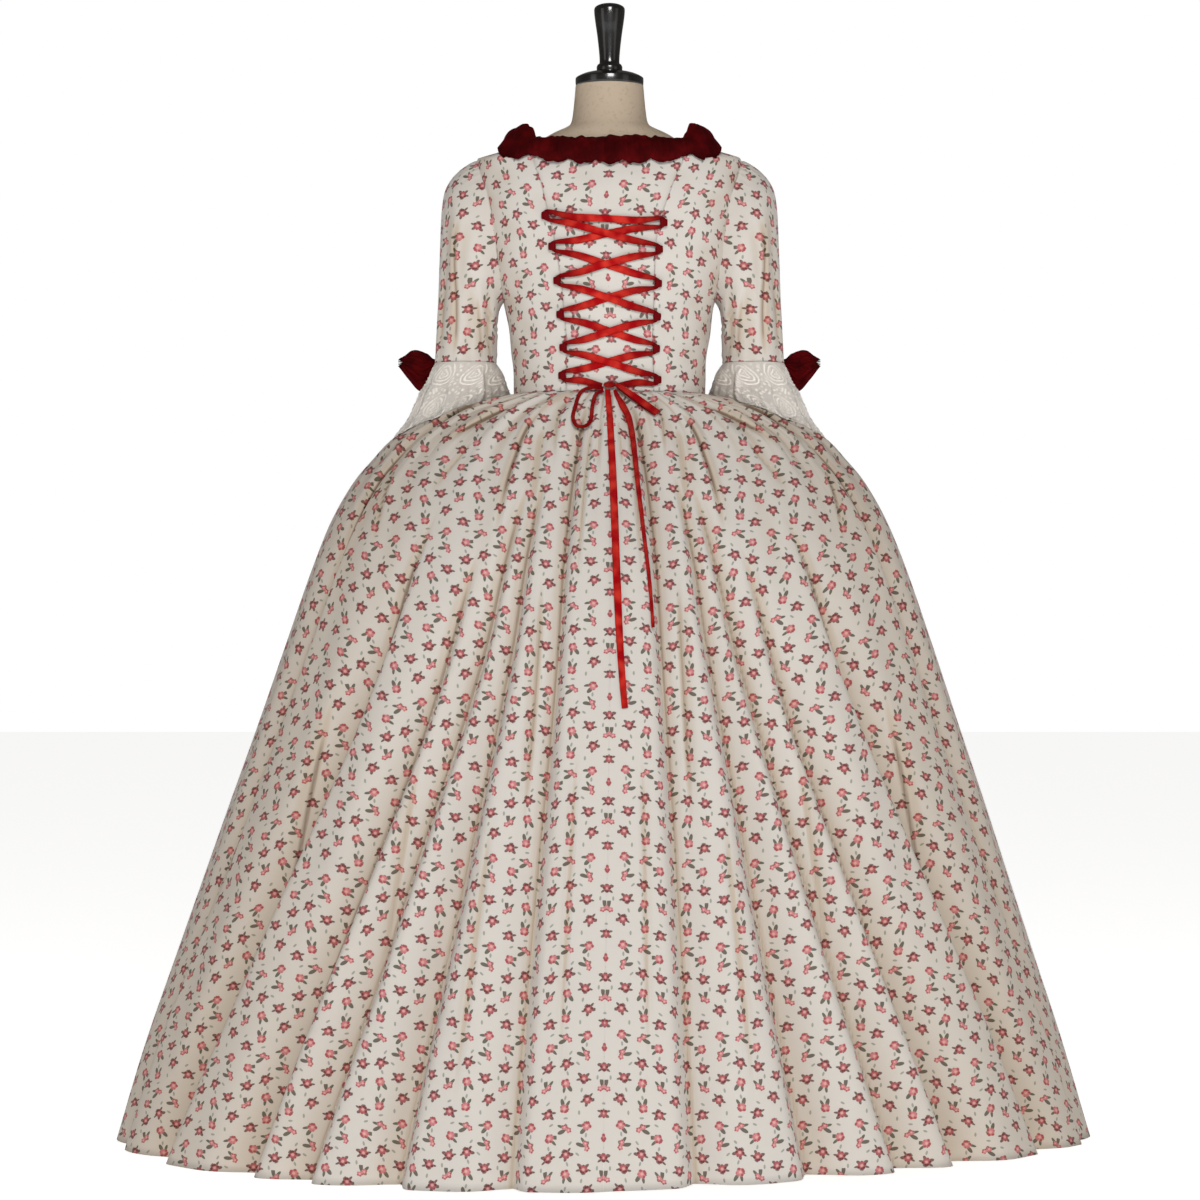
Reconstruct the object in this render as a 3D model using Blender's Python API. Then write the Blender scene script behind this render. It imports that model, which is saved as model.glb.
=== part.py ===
"""A floor-length ball gown, laced up the back, standing on a limbless dress form.

Metres, +Z up. The foot of the stand rests on z = 0 and its pole stands on x = y = 0.
The laced back faces -Y, the front +Y, and the wearer's right hand side is +X.

A place on the gown is given by its turn, in degrees round the body from the centre
back (0) through the wearer's right side (90) to the centre front (180), and by its
height, or by its distance down the skirt. Each cloth piece is a thin wall: an outer
face from such places, and an inner face one cloth thickness inside it.
"""
import math

import bmesh
import bpy
from mathutils import Vector

for old in list(bpy.data.objects):
    bpy.data.objects.remove(old, do_unlink=True)

# Driving sizes
WAIST = 1.046            # height of the waist seam
NECKLINE = 1.3885        # height of the back neckline
BUST_EDGE = 1.280        # height of the front neckline
SHOULDER = 1.374         # height of the top of each armhole
UNDERARM = 1.1755        # height of the bottom of each armhole
SKIRT_SIDE = 1.232       # distance from waist to hem down the side seam
HEM_LEAN = -0.009        # how far the hem hangs towards the wearer's left
HEM_SWING = 0.0075       # how much higher the hem hangs at the wearer's back right
BODICE_CLOTH = 0.0015
SKIRT_CLOTH = 0.002
LACE_CLOTH = 0.001
VELVET_CLOTH = 0.002
RIBBON_CLOTH = 0.001
GAP = 0.0003             # space kept between two pieces that touch
UNDERLAP = 0.010         # how far the centre back piece runs under the laced edges
FORM_CLEARANCE = 0.0042  # from the bodice's outer face to the dress form
BODY_SQUARENESS = 2.2    # exponent of the bodice's rounded sections
RIGHT, LEFT = 1, -1


def monotone_slopes(stations, values):
    """Slopes of a smooth curve through the values that never overshoots them."""
    count = len(stations)
    steps = [(values[i + 1] - values[i]) / (stations[i + 1] - stations[i])
             for i in range(count - 1)]
    slopes = [steps[0]]
    for before, after in zip(steps, steps[1:]):
        slopes.append(0.0 if before * after <= 0 else 2 * before * after / (before + after))
    slopes.append(steps[-1])
    return slopes


class Profile:
    """A short table whose first column is the station, read as smooth curves."""

    def __init__(self, names, rows):
        self.stations = [row[0] for row in rows]
        self.values = {name: [row[i] for row in rows] for i, name in enumerate(names)}
        self.slopes = {name: monotone_slopes(self.stations, column)
                       for name, column in self.values.items()}

    def at(self, station, name):
        stations, values = self.stations, self.values[name]
        if station <= stations[0]:
            return values[0]
        if station >= stations[-1]:
            return values[-1]
        i = max(k for k, start in enumerate(stations) if start <= station)
        width = stations[i + 1] - stations[i]
        t = (station - stations[i]) / width
        slopes = self.slopes[name]
        return (values[i] * (1 + 2 * t) * (1 - t) ** 2 + values[i + 1] * t * t * (3 - 2 * t)
                + width * (slopes[i] * t * (1 - t) ** 2 - slopes[i + 1] * t * t * (1 - t)))


def smoothstep(low, high, value):
    t = min(max((value - low) / (high - low), 0.0), 1.0)
    return t * t * (3 - 2 * t)


def rounded_section(turn, side, back, front, squareness):
    """The point of a rounded, body-like section at this turn."""
    angle = math.radians(turn)
    power = 2 / squareness
    x = side * math.copysign(abs(math.sin(angle)) ** power, math.sin(angle))
    depth = back if math.cos(angle) > 0 else front
    y = -depth * math.copysign(abs(math.cos(angle)) ** power, math.cos(angle))
    return x, y


def turn_of(x, side, squareness):
    """The turn, from the centre line, at which a section is x from that line."""
    return math.degrees(math.asin(min(x / side, 1.0) ** (squareness / 2)))


# Materials
COLOURS = {
    "printed cotton": ((0.62, 0.50, 0.46), 0.85, 0.0),
    "burgundy velvet": ((0.050, 0.004, 0.006), 0.80, 0.0),
    "red satin": ((0.42, 0.010, 0.012), 0.35, 0.0),
    "cream lace": ((0.58, 0.53, 0.48), 0.90, 0.0),
    "linen form": ((0.42, 0.34, 0.25), 0.80, 0.0),
    "black lacquer": ((0.010, 0.008, 0.008), 0.25, 0.0),
    "steel": ((0.35, 0.35, 0.36), 0.35, 1.0),
}


def add_material(obj, kind):
    """Each piece has its own material of the named kind."""
    colour, roughness, metallic = COLOURS[kind]
    material = bpy.data.materials.new(f"{kind} {obj.name}")
    material.use_nodes = True
    shader = material.node_tree.nodes["Principled BSDF"]
    shader.inputs["Base Color"].default_value = (*colour, 1.0)
    shader.inputs["Roughness"].default_value = roughness
    shader.inputs["Metallic"].default_value = metallic
    obj.data.materials.append(material)


def add_piece(name, points, faces, kind):
    """One named object from points and faces, its faces turned outwards."""
    mesh = bpy.data.meshes.new(name)
    mesh.from_pydata([tuple(point) for point in points], [], faces)
    work = bmesh.new()
    work.from_mesh(mesh)
    bmesh.ops.recalc_face_normals(work, faces=work.faces)
    work.to_mesh(mesh)
    work.free()
    mesh.shade_smooth()
    mesh.set_sharp_from_angle(angle=math.radians(50))
    obj = bpy.data.objects.new(name, mesh)
    bpy.context.scene.collection.objects.link(obj)
    add_material(obj, kind)
    return obj


def wall(name, outer, inner, kind, closed=False):
    """A closed wall between two like grids of points, round a tube if closed."""
    rows, columns = len(outer), len(outer[0])
    points = [point for grid in (outer, inner) for row in grid for point in row]

    def index(layer, i, j):
        return layer * rows * columns + i * columns + j % columns

    faces = []
    last = columns if closed else columns - 1
    for i in range(rows - 1):
        for j in range(last):
            for layer in (0, 1):
                faces.append((index(layer, i, j), index(layer, i, j + 1),
                              index(layer, i + 1, j + 1), index(layer, i + 1, j)))
    for i in (0, rows - 1):
        for j in range(last):
            faces.append((index(0, i, j), index(0, i, j + 1),
                          index(1, i, j + 1), index(1, i, j)))
    if not closed:
        for j in (0, columns - 1):
            for i in range(rows - 1):
                faces.append((index(0, i, j), index(0, i + 1, j),
                              index(1, i + 1, j), index(1, i, j)))
    return add_piece(name, points, faces, kind)


def surface_normal(surface, u, v, step_u, step_v):
    """The normal of a surface of two coordinates, from its slopes."""
    across = surface(u + step_u, v) - surface(u - step_u, v)
    along = surface(u, v + step_v) - surface(u, v - step_v)
    return across.cross(along).normalized()


def turned(name, profile, sides, kind):
    """A solid turned round the pole's axis; the profile runs from bottom to top."""
    points, faces = [], []
    for radius, height in profile:
        for k in range(sides):
            angle = 2 * math.pi * k / sides
            points.append((radius * math.cos(angle), radius * math.sin(angle), height))
    for i in range(len(profile) - 1):
        for k in range(sides):
            after = (k + 1) % sides
            faces.append((i * sides + k, i * sides + after,
                          (i + 1) * sides + after, (i + 1) * sides + k))
    top = (len(profile) - 1) * sides
    faces.append(tuple(range(sides)))
    faces.append(tuple(range(top, top + sides)))
    return add_piece(name, points, faces, kind)


def bead(name, centre, radii, kind):
    """A knot: a rounded bead with flat little ends above and below."""
    sides, latitudes = 10, (-75, -45, -15, 15, 45, 75)
    points, faces = [], []
    for latitude in latitudes:
        level, reach = math.sin(math.radians(latitude)), math.cos(math.radians(latitude))
        for k in range(sides):
            angle = 2 * math.pi * k / sides
            points.append(centre + Vector((radii[0] * reach * math.cos(angle),
                                           radii[1] * reach * math.sin(angle),
                                           radii[2] * level)))
    for i in range(len(latitudes) - 1):
        for k in range(sides):
            after = (k + 1) % sides
            faces.append((i * sides + k, i * sides + after,
                          (i + 1) * sides + after, (i + 1) * sides + k))
    top = (len(latitudes) - 1) * sides
    faces.append(tuple(range(sides)))
    faces.append(tuple(range(top, top + sides)))
    return add_piece(name, points, faces, kind)


def strip(name, path, normals, widths, thickness, kind):
    """A flat ribbon along a path; its broad faces look along the normals."""
    points, faces = [], []
    last = len(path) - 1
    for i, centre in enumerate(path):
        tangent = (path[min(i + 1, last)] - path[max(i - 1, 0)]).normalized()
        across = tangent.cross(normals[i]).normalized()
        out = across.cross(tangent).normalized()
        half_width, half_thick = across * widths[i] / 2, out * thickness / 2
        points += [centre - half_width - half_thick, centre + half_width - half_thick,
                   centre + half_width + half_thick, centre - half_width + half_thick]
    for i in range(last):
        for k in range(4):
            after = (k + 1) % 4
            faces.append((4 * i + k, 4 * i + after, 4 * i + 4 + after, 4 * i + 4 + k))
    faces.append((0, 1, 2, 3))
    faces.append((4 * last, 4 * last + 1, 4 * last + 2, 4 * last + 3))
    return add_piece(name, points, faces, kind)


def smooth_path(knots, per_span):
    """Points on a Catmull-Rom curve through the knots."""
    points = []
    for i in range(len(knots) - 1):
        before, start = knots[max(i - 1, 0)], knots[i]
        end, after = knots[i + 1], knots[min(i + 2, len(knots) - 1)]
        for k in range(per_span):
            t = k / per_span
            points.append(0.5 * (2 * start + (end - before) * t
                                 + (2 * before - 5 * start + 4 * end - after) * t * t
                                 + (3 * start - before - 3 * end + after) * t ** 3))
    points.append(knots[-1].copy())
    return points


# Bodice: the outer face of the worn torso
TORSO = Profile(
    ("height", "side", "back", "front"),
    ((1.0460, 0.1340, 0.0920, 0.1060),
     (1.0800, 0.1345, 0.0910, 0.1100),
     (1.1200, 0.1390, 0.0940, 0.1190),
     (1.1650, 0.1455, 0.1000, 0.1310),
     (1.2000, 0.1560, 0.1040, 0.1370),
     (1.2400, 0.1680, 0.1070, 0.1360),
     (1.2800, 0.1750, 0.1070, 0.1280),
     (1.3190, 0.1800, 0.1030, 0.1130),
     (1.3500, 0.1845, 0.0950, 0.0950),
     (1.3740, 0.1860, 0.0850, 0.0750),
     (1.3790, 0.1720, 0.0815, 0.0690),
     (1.3840, 0.1550, 0.0780, 0.0630),
     (1.3885, 0.1300, 0.0745, 0.0580)))
# The laced edges: how far each lies from the centre back
LACED_EDGES = Profile(
    ("height", "left", "right"),
    ((1.0460, 0.0595, 0.0600),
     (1.0670, 0.0597, 0.0603),
     (1.1060, 0.0583, 0.0583),
     (1.1510, 0.0624, 0.0597),
     (1.1970, 0.0665, 0.0610),
     (1.2430, 0.0734, 0.0624),
     (1.2860, 0.0830, 0.0713),
     (1.3400, 0.0960, 0.0900),
     (1.3740, 0.1060, 0.1030),
     (1.3885, 0.0800, 0.0780)))
# The front princess seam up to the bust, then the edge of the low front neckline
FRONT_EDGE = Profile(
    ("height", "x"),
    ((1.0460, 0.0480),
     (1.1200, 0.0560),
     (1.2000, 0.0680),
     (1.2800, 0.0740),
     (1.2900, 0.0980),
     (1.3200, 0.1100),
     (1.3500, 0.1160),
     (1.3740, 0.1200),
     (1.3825, 0.1220),
     (1.3885, 0.1290)))
BODICE_ROWS = (WAIST + GAP, 1.080, 1.125, UNDERARM, 1.185, 1.205, 1.240, BUST_EDGE,
               1.320, 1.350, 1.366, SHOULDER, 1.3795, 1.3840, NECKLINE)
ARMHOLE_SCOOP = {"back": 24.0, "front": 31.0}


def torso_point(turn, height):
    x, y = rounded_section(turn, TORSO.at(height, "side"), TORSO.at(height, "back"),
                           TORSO.at(height, "front"), BODY_SQUARENESS)
    return Vector((x, y, height))


def torso_normal(turn, height):
    return surface_normal(torso_point, turn, height, 0.5, 0.0004)


def on_torso(turn, height, out=0.0):
    return torso_point(turn, height) + torso_normal(turn, height) * out


def armhole_angle(height):
    """Where on the armhole ring this height lies: 0 at the top, 180 at the bottom."""
    middle, half = (SHOULDER + UNDERARM) / 2, (SHOULDER - UNDERARM) / 2
    return math.degrees(math.acos(min(max((height - middle) / half, -1.0), 1.0)))


def armhole_turn(height, part):
    """The turn of the armhole's back or front edge, 90 above and below the armhole."""
    scoop = ARMHOLE_SCOOP[part] * math.sin(math.radians(armhole_angle(height)))
    return 90 - scoop if part == "back" else 90 + scoop


def laced_turn(height, side_name, inset=0.0):
    x = LACED_EDGES.at(height, side_name) - inset
    return turn_of(x, TORSO.at(height, "side"), BODY_SQUARENESS)


def front_turn(height):
    x = FRONT_EDGE.at(height, "x")
    return 180 - turn_of(x, TORSO.at(height, "side"), BODY_SQUARENESS)


def gap_turn(height):
    """Half the space kept at a seam, in degrees of turn."""
    return math.degrees(GAP / 2 / TORSO.at(height, "back"))


def bodice_panel(name, rows, columns, first, last, out=0.0, side_seam=False):
    """A panel from turn first(height) to turn last(height), out from the torso."""
    outer, inner = [], []
    for height in rows:
        start, end = first(height) + gap_turn(height), last(height) - gap_turn(height)
        outer_row, inner_row = [], []
        for j in range(columns):
            turn = start + (end - start) * j / (columns - 1)
            normal = torso_normal(turn, height)
            if side_seam and abs(abs(turn) - 90) < 1:
                normal = Vector((normal.x, 0.0, normal.z)).normalized()
            point = torso_point(turn, height) + normal * out
            outer_row.append(point)
            inner_row.append(point - normal * BODICE_CLOTH)
        outer.append(outer_row)
        inner.append(inner_row)
    return wall(name, outer, inner, "printed cotton")


def make_bodice():
    under = -(BODICE_CLOTH + 2 * GAP)
    bodice_panel("bodice_back_centre", BODICE_ROWS, 9,
                 lambda h: -laced_turn(h, "left", -UNDERLAP),
                 lambda h: laced_turn(h, "right", -UNDERLAP), out=under)
    bodice_panel("bodice_back_right", BODICE_ROWS, 7,
                 lambda h: laced_turn(h, "right"),
                 lambda h: armhole_turn(h, "back"), side_seam=True)
    bodice_panel("bodice_back_left", BODICE_ROWS, 7,
                 lambda h: -armhole_turn(h, "back"),
                 lambda h: -laced_turn(h, "left"), side_seam=True)
    bodice_panel("bodice_side_front_right", BODICE_ROWS, 6,
                 lambda h: armhole_turn(h, "front"),
                 front_turn, side_seam=True)
    bodice_panel("bodice_side_front_left", BODICE_ROWS, 6,
                 lambda h: -front_turn(h),
                 lambda h: -armhole_turn(h, "front"), side_seam=True)
    bust_rows = [height for height in BODICE_ROWS if height <= BUST_EDGE]
    bodice_panel("bodice_front_centre", bust_rows, 6,
                 front_turn, lambda h: 360 - front_turn(h))


# Sleeves: the outer and the inner line of the right arm, and the depth between
SLEEVE = Profile(
    ("along", "outer x", "outer z", "inner x", "inner z", "depth", "forward"),
    ((0.00, 0.1860, 1.3740, 0.1485, 1.1755, 0.0480, 0.000),
     (0.06, 0.2000, 1.3670, 0.1515, 1.1710, 0.0530, 0.001),
     (0.12, 0.2120, 1.3585, 0.1535, 1.1670, 0.0570, 0.002),
     (0.19, 0.2225, 1.3460, 0.1550, 1.1620, 0.0600, 0.003),
     (0.27, 0.2300, 1.3290, 0.1560, 1.1550, 0.0610, 0.005),
     (0.38, 0.2340, 1.3000, 0.1570, 1.1450, 0.0600, 0.007),
     (0.53, 0.2365, 1.2550, 0.1575, 1.1330, 0.0560, 0.010),
     (0.70, 0.2390, 1.2050, 0.1580, 1.1200, 0.0520, 0.013),
     (0.86, 0.2420, 1.1500, 0.1585, 1.1060, 0.0480, 0.016),
     (1.00, 0.2455, 1.0915, 0.1590, 1.0915, 0.0435, 0.018)))
SLEEVE_ROWS = (0.0, 0.06, 0.13, 0.22, 0.34, 0.50, 0.74, 1.0)
CROWN_BLEND = 0.40       # share of the sleeve over which the armhole's shape fades out


def sleeve_oval(angle, along):
    """The sleeve's plain oval: angle 0 outside, 90 in front, 180 next to the body."""
    outer = Vector((SLEEVE.at(along, "outer x"), 0.0, SLEEVE.at(along, "outer z")))
    inner = Vector((SLEEVE.at(along, "inner x"), 0.0, SLEEVE.at(along, "inner z")))
    radians = math.radians(angle)
    y = SLEEVE.at(along, "forward") + SLEEVE.at(along, "depth") * math.sin(radians)
    return (outer + inner) / 2 + (outer - inner) / 2 * math.cos(radians) + Vector((0, y, 0))


def armhole_point(angle):
    """The armhole's edge on the right side, at the same angle as the sleeve's."""
    middle, half = (SHOULDER + UNDERARM) / 2, (SHOULDER - UNDERARM) / 2
    height = middle + half * math.cos(math.radians(angle))
    part = "front" if math.sin(math.radians(angle)) > 0 else "back"
    scoop = ARMHOLE_SCOOP[part] * math.sin(math.radians(angle))
    return torso_point(90 + scoop, height)


ARMHOLE_CENTRE = sum((armhole_point(30 * k) for k in range(12)), Vector()) / 12


def sleeve_point(angle, along):
    edge = armhole_point(angle)
    edge += (ARMHOLE_CENTRE - edge).normalized() * 2 * GAP
    fade = 1 - smoothstep(0.0, CROWN_BLEND, along)
    return sleeve_oval(angle, along) + (edge - sleeve_oval(angle, 0.0)) * fade


def sleeve_angles():
    """Ring angles whose heights at the armhole are the bodice's rows."""
    heights = [h for h in BODICE_ROWS if UNDERARM <= h <= SHOULDER]
    back = [-armhole_angle(h) for h in heights]
    return back + [-angle for angle in reversed(back[1:-1])]


def tube(name, surface, angles, rows, level_rows, thickness, kind, side):
    """A cloth tube from a surface of (angle, along), mirrored for the left side.

    The level rows lie in one horizontal plane on both faces of the wall.
    """
    outer, inner = [], []
    for along in rows:
        outer_row, inner_row = [], []
        for angle in angles:
            point = surface(angle, along)
            normal = -surface_normal(surface, angle, along, 1.0, 0.004)
            if along in level_rows:
                normal = Vector((normal.x, normal.y, 0.0)).normalized()
            for row, place in ((outer_row, point), (inner_row, point - normal * thickness)):
                row.append(Vector((place.x * side, place.y, place.z)))
        outer.append(outer_row)
        inner.append(inner_row)
    return wall(name, outer, inner, kind, closed=True)


# Skirt: its sections down from the waist
SKIRT = Profile(
    ("along", "height", "side", "back", "front", "squareness"),
    ((0.000, 1.0457, 0.1340, 0.0920, 0.1060, 2.20),
     (0.016, 1.0425, 0.1500, 0.0965, 0.1095, 2.15),
     (0.039, 1.0370, 0.1720, 0.1010, 0.1130, 2.10),
     (0.061, 1.0310, 0.1930, 0.1060, 0.1170, 2.10),
     (0.100, 1.0210, 0.2310, 0.1140, 0.1240, 2.05),
     (0.135, 1.0060, 0.2620, 0.1240, 0.1330, 2.05),
     (0.182, 0.9830, 0.3030, 0.1400, 0.1480, 2.00),
     (0.221, 0.9550, 0.3300, 0.1580, 0.1650, 2.00),
     (0.258, 0.9270, 0.3540, 0.1760, 0.1820, 2.00),
     (0.323, 0.8710, 0.3870, 0.2080, 0.2120, 2.00),
     (0.383, 0.8150, 0.4100, 0.2360, 0.2390, 2.00),
     (0.502, 0.7030, 0.4490, 0.2780, 0.2800, 1.95),
     (0.620, 0.5910, 0.4870, 0.3120, 0.3140, 1.92),
     (0.739, 0.4790, 0.5260, 0.3420, 0.3440, 1.90),
     (0.857, 0.3670, 0.5640, 0.3690, 0.3710, 1.87),
     (0.975, 0.2550, 0.6020, 0.3920, 0.3940, 1.84),
     (1.094, 0.1430, 0.6400, 0.4110, 0.4130, 1.81),
     (1.232, 0.0090, 0.6800, 0.4280, 0.4280, 1.78)))
SKIRT_ROWS = (0.0, 0.025, 0.065, 0.115, 0.175, 0.245, 0.350, 0.500, 0.700, 0.960,
              SKIRT_SIDE)
QUARTER_GATHERS = 8      # small pleats at the waist of each quarter
SKIRT_COLUMNS = 4 * QUARTER_GATHERS + 1
# The large folds of one half: turns are measured from the centre back, and again from
# the centre front
FOLDS = Profile(
    ("number", "turn at waist", "turn at hem", "start", "depth", "width"),
    ((0, 8.0, 12.5, 0.05, 0.024, 2.7),
     (1, 22.0, 27.0, 0.01, 0.036, 3.1),
     (2, 25.5, 38.0, 0.22, 0.028, 2.7),
     (3, 49.0, 47.0, 0.08, 0.036, 3.1),
     (4, 82.0, 64.0, 0.12, 0.038, 3.2)))
FOLD_COUNT = 5
GATHER_DEPTH = 0.0030
GATHER_END = 0.42        # distance from the waist at which they have died out


def fold_depth(turn, along):
    """How far the large folds pull the cloth in at this place."""
    from_middle = min(turn % 180, 180 - turn % 180)
    share = max(along, 0.0) / SKIRT_SIDE
    total = 0.0
    for number in range(FOLD_COUNT):
        waist, hem = FOLDS.at(number, "turn at waist"), FOLDS.at(number, "turn at hem")
        centre = waist + (hem - waist) * share ** 0.8
        start = FOLDS.at(number, "start")
        growth = smoothstep(start, start + 0.30, along) * (0.35 + 0.65 * share)
        offset = (from_middle - centre) / FOLDS.at(number, "width")
        total += FOLDS.at(number, "depth") * growth * math.exp(-offset * offset)
    return total


def gather_rise(turn, along):
    """The small waist pleats: fullest just below the waist, gone by the hip."""
    fullness = (0.25 + 0.75 * smoothstep(0.0, 0.06, along)) \
        * (1 - smoothstep(0.14, GATHER_END, along))
    unevenness = 0.75 + 0.25 * math.sin(math.radians(10 * turn))
    return (GATHER_DEPTH * fullness * unevenness
            * math.cos(math.radians(4 * QUARTER_GATHERS * turn)))


def skirt_base(turn, along):
    x, y = rounded_section(turn, SKIRT.at(along, "side"), SKIRT.at(along, "back"),
                           SKIRT.at(along, "front"), SKIRT.at(along, "squareness"))
    lean = HEM_LEAN * smoothstep(0.45, SKIRT_SIDE, along)
    swing = HEM_SWING * math.sin(math.radians(2 * turn)) * (along / SKIRT_SIDE) ** 2
    return Vector((x + lean, y, SKIRT.at(along, "height") + swing))


def skirt_point(turn, along):
    base = skirt_base(turn, along)
    inwards = Vector((base.x, base.y * 1.5, 0.0)).normalized()
    rise = gather_rise(turn, along)
    lift = Vector((0, 0, 1)) * rise * (1 - smoothstep(0.02, 0.25, along))
    return base + inwards * (rise - fold_depth(turn, along)) + lift


def skirt_panel(name, first, last):
    """A quarter of the skirt; its seams lie in the planes x = 0 and y = 0."""
    outer, inner = [], []
    for along in SKIRT_ROWS:
        outer_row, inner_row = [], []
        for j in range(SKIRT_COLUMNS):
            turn = first + (last - first) * j / (SKIRT_COLUMNS - 1)
            point = skirt_point(turn, along)
            normal = -surface_normal(skirt_point, turn, along, 0.4, 0.002)
            at_edge = {0: first, SKIRT_COLUMNS - 1: last}.get(j)
            if at_edge is not None:
                inside = 1 if j == 0 else -1
                radians = math.radians(at_edge)
                ahead = Vector((math.cos(radians), math.sin(radians), 0.0)) * inside
                flat = normal - ahead * normal.dot(ahead)
                normal = flat.normalized()
                point += ahead * GAP / 2
            outer_row.append(point)
            inner_row.append(point - normal * SKIRT_CLOTH)
        outer.append(outer_row)
        inner.append(inner_row)
    return wall(name, outer, inner, "printed cotton")


def skirt_top(x, y):
    """The height of the skirt's widening top over a place (x, y)."""
    for k in range(400):
        along = k * 0.001
        squareness = SKIRT.at(along, "squareness")
        depth = SKIRT.at(along, "back" if y < 0 else "front")
        reach = (abs(x) / SKIRT.at(along, "side")) ** squareness \
            + (abs(y) / depth) ** squareness
        if reach <= 1:
            return SKIRT.at(along, "height")
    return 0.0


def skirt_back(x, height):
    """The y of the skirt's back at a place near the centre back."""
    low, high = 0.0, SKIRT_SIDE
    while high - low > 1e-4:
        middle = (low + high) / 2
        low, high = (middle, high) if SKIRT.at(middle, "height") > height else (low, middle)
    side, squareness = SKIRT.at(low, "side"), SKIRT.at(low, "squareness")
    return skirt_base(math.copysign(turn_of(abs(x), side, squareness), x), low).y


# Lace flounces: the same lines as the sleeve's, from the cuff down
FLOUNCE = Profile(
    ("along", "outer x", "outer z", "inner x", "inner z", "depth", "forward"),
    ((0.00, 0.2455, 1.0912, 0.1590, 1.0912, 0.0435, 0.018),
     (0.22, 0.2540, 1.0690, 0.1490, 1.0740, 0.0500, 0.019),
     (0.45, 0.2640, 1.0500, 0.1440, 1.0600, 0.0550, 0.021),
     (0.72, 0.2770, 1.0180, 0.1410, 1.0520, 0.0620, 0.025),
     (1.00, 0.3060, 0.9770, 0.1400, 1.0480, 0.0700, 0.030)))
FLOUNCE_ROWS = (0.0, 0.28, 0.62, 1.0)
FLOUNCE_WAVES = 9
FLOUNCE_COLUMNS = 4 * FLOUNCE_WAVES
SHELF_CLEARANCE = 0.0050


def flounce_point(angle, along):
    radians = math.radians(angle)
    outwards = (1 + math.cos(radians)) / 2
    outer = Vector((FLOUNCE.at(along, "outer x"), 0.0, FLOUNCE.at(along, "outer z")))
    inner = Vector((FLOUNCE.at(along, "inner x"), 0.0, FLOUNCE.at(along, "inner z")))
    y = FLOUNCE.at(along, "forward") + FLOUNCE.at(along, "depth") * math.sin(radians)
    point = (outer + inner) / 2 + (outer - inner) / 2 * math.cos(radians) + Vector((0, y, 0))
    wave = 0.006 * along * (0.15 + 0.85 * outwards) * math.cos(FLOUNCE_WAVES * radians)
    point += Vector((math.cos(radians), math.sin(radians), 0.0)) * wave
    if along > 0:
        point.z = max(point.z, skirt_top(point.x, point.y) + SHELF_CLEARANCE * along)
    return point


# Elbow bows: a knot and two wings on the outer front of each cuff
BOW_ANGLE = 50.0         # where round the cuff the knot sits
BOW_HEIGHT = 1.092
BOW_OUT = 0.0060         # from the cuff's smooth form to the knot's centre
WING = Profile(
    ("reach", "top", "bottom", "half gap"),
    ((0.00, 0.006, -0.007, 0.0016),
     (0.20, 0.009, -0.014, 0.0036),
     (0.45, 0.018, -0.037, 0.0056),
     (0.74, 0.018, -0.020, 0.0046),
     (0.93, 0.011, -0.005, 0.0024),
     (1.00, 0.006, 0.000, 0.0000)))
WING_REACH = 0.066
WING_START = 0.0050
WING_DIRECTIONS = {"outer": Vector((0.97, 0.24, 0.0)), "front": Vector((-0.22, 0.97, 0.0))}
WING_STATIONS = (0.0, 0.20, 0.45, 0.74, 0.93, 1.0)


def elbow_bow(side, side_name):
    radians = math.radians(BOW_ANGLE)
    seat = sleeve_oval(BOW_ANGLE, 0.985)
    out = Vector((math.cos(radians), math.sin(radians), 0.0))
    centre = Vector((seat.x, seat.y, BOW_HEIGHT)) + out * BOW_OUT
    seat = Vector((centre.x * side, centre.y, centre.z))
    bead(f"elbow_bow_knot_{side_name}", seat, (0.0050, 0.0050, 0.0085), "burgundy velvet")
    for wing_name, direction in WING_DIRECTIONS.items():
        direction = direction.normalized()
        sideways = Vector((-direction.y, direction.x, 0.0))
        loop = [(reach, 1) for reach in WING_STATIONS]
        loop += [(reach, -1) for reach in reversed(WING_STATIONS[:-1])]
        spine = [centre + direction * (WING_START + (WING_REACH - WING_START) * reach)
                 + sideways * WING.at(reach, "half gap") * face for reach, face in loop]
        outer, inner = [], []
        for share in (0.0, 0.5, 1.0):
            outer_row, inner_row = [], []
            for i, (place, (reach, face)) in enumerate(zip(spine, loop)):
                ahead = spine[min(i + 1, len(spine) - 1)] - spine[max(i - 1, 0)]
                normal = Vector((ahead.y, -ahead.x, 0.0)).normalized()
                low, high = WING.at(reach, "bottom"), WING.at(reach, "top")
                point = place + Vector((0, 0, low + (high - low) * share))
                for row, shift in ((outer_row, -0.0006), (inner_row, 0.0006)):
                    moved = point + normal * shift
                    row.append(Vector((moved.x * side, moved.y, moved.z)))
            outer.append(outer_row)
            inner.append(inner_row)
        wall(f"elbow_bow_{wing_name}_{side_name}", outer, inner, "burgundy velvet")


# Neckline ruche: a ruffled velvet band round the whole neckline
RUCHE_WAVES = 24
RUCHE_COLUMNS = 4 * RUCHE_WAVES
RUCHE_FALL = 0.0330      # from the neckline down over the bodice to the lower edge
RUCHE_MIDDLE = 0.0140    # from the neckline down to where it puffs out the most
RUCHE_RISE = 0.0070      # how far its upper edge stands above the neckline
SHOULDER_RISE = 0.0270   # how much higher its upper edge stands on the shoulders
RUCHE_SCALLOP = 0.0030
RUCHE_SEAT = VELVET_CLOTH + 0.0001
RUCHE_PUFF = 0.0100


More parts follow.
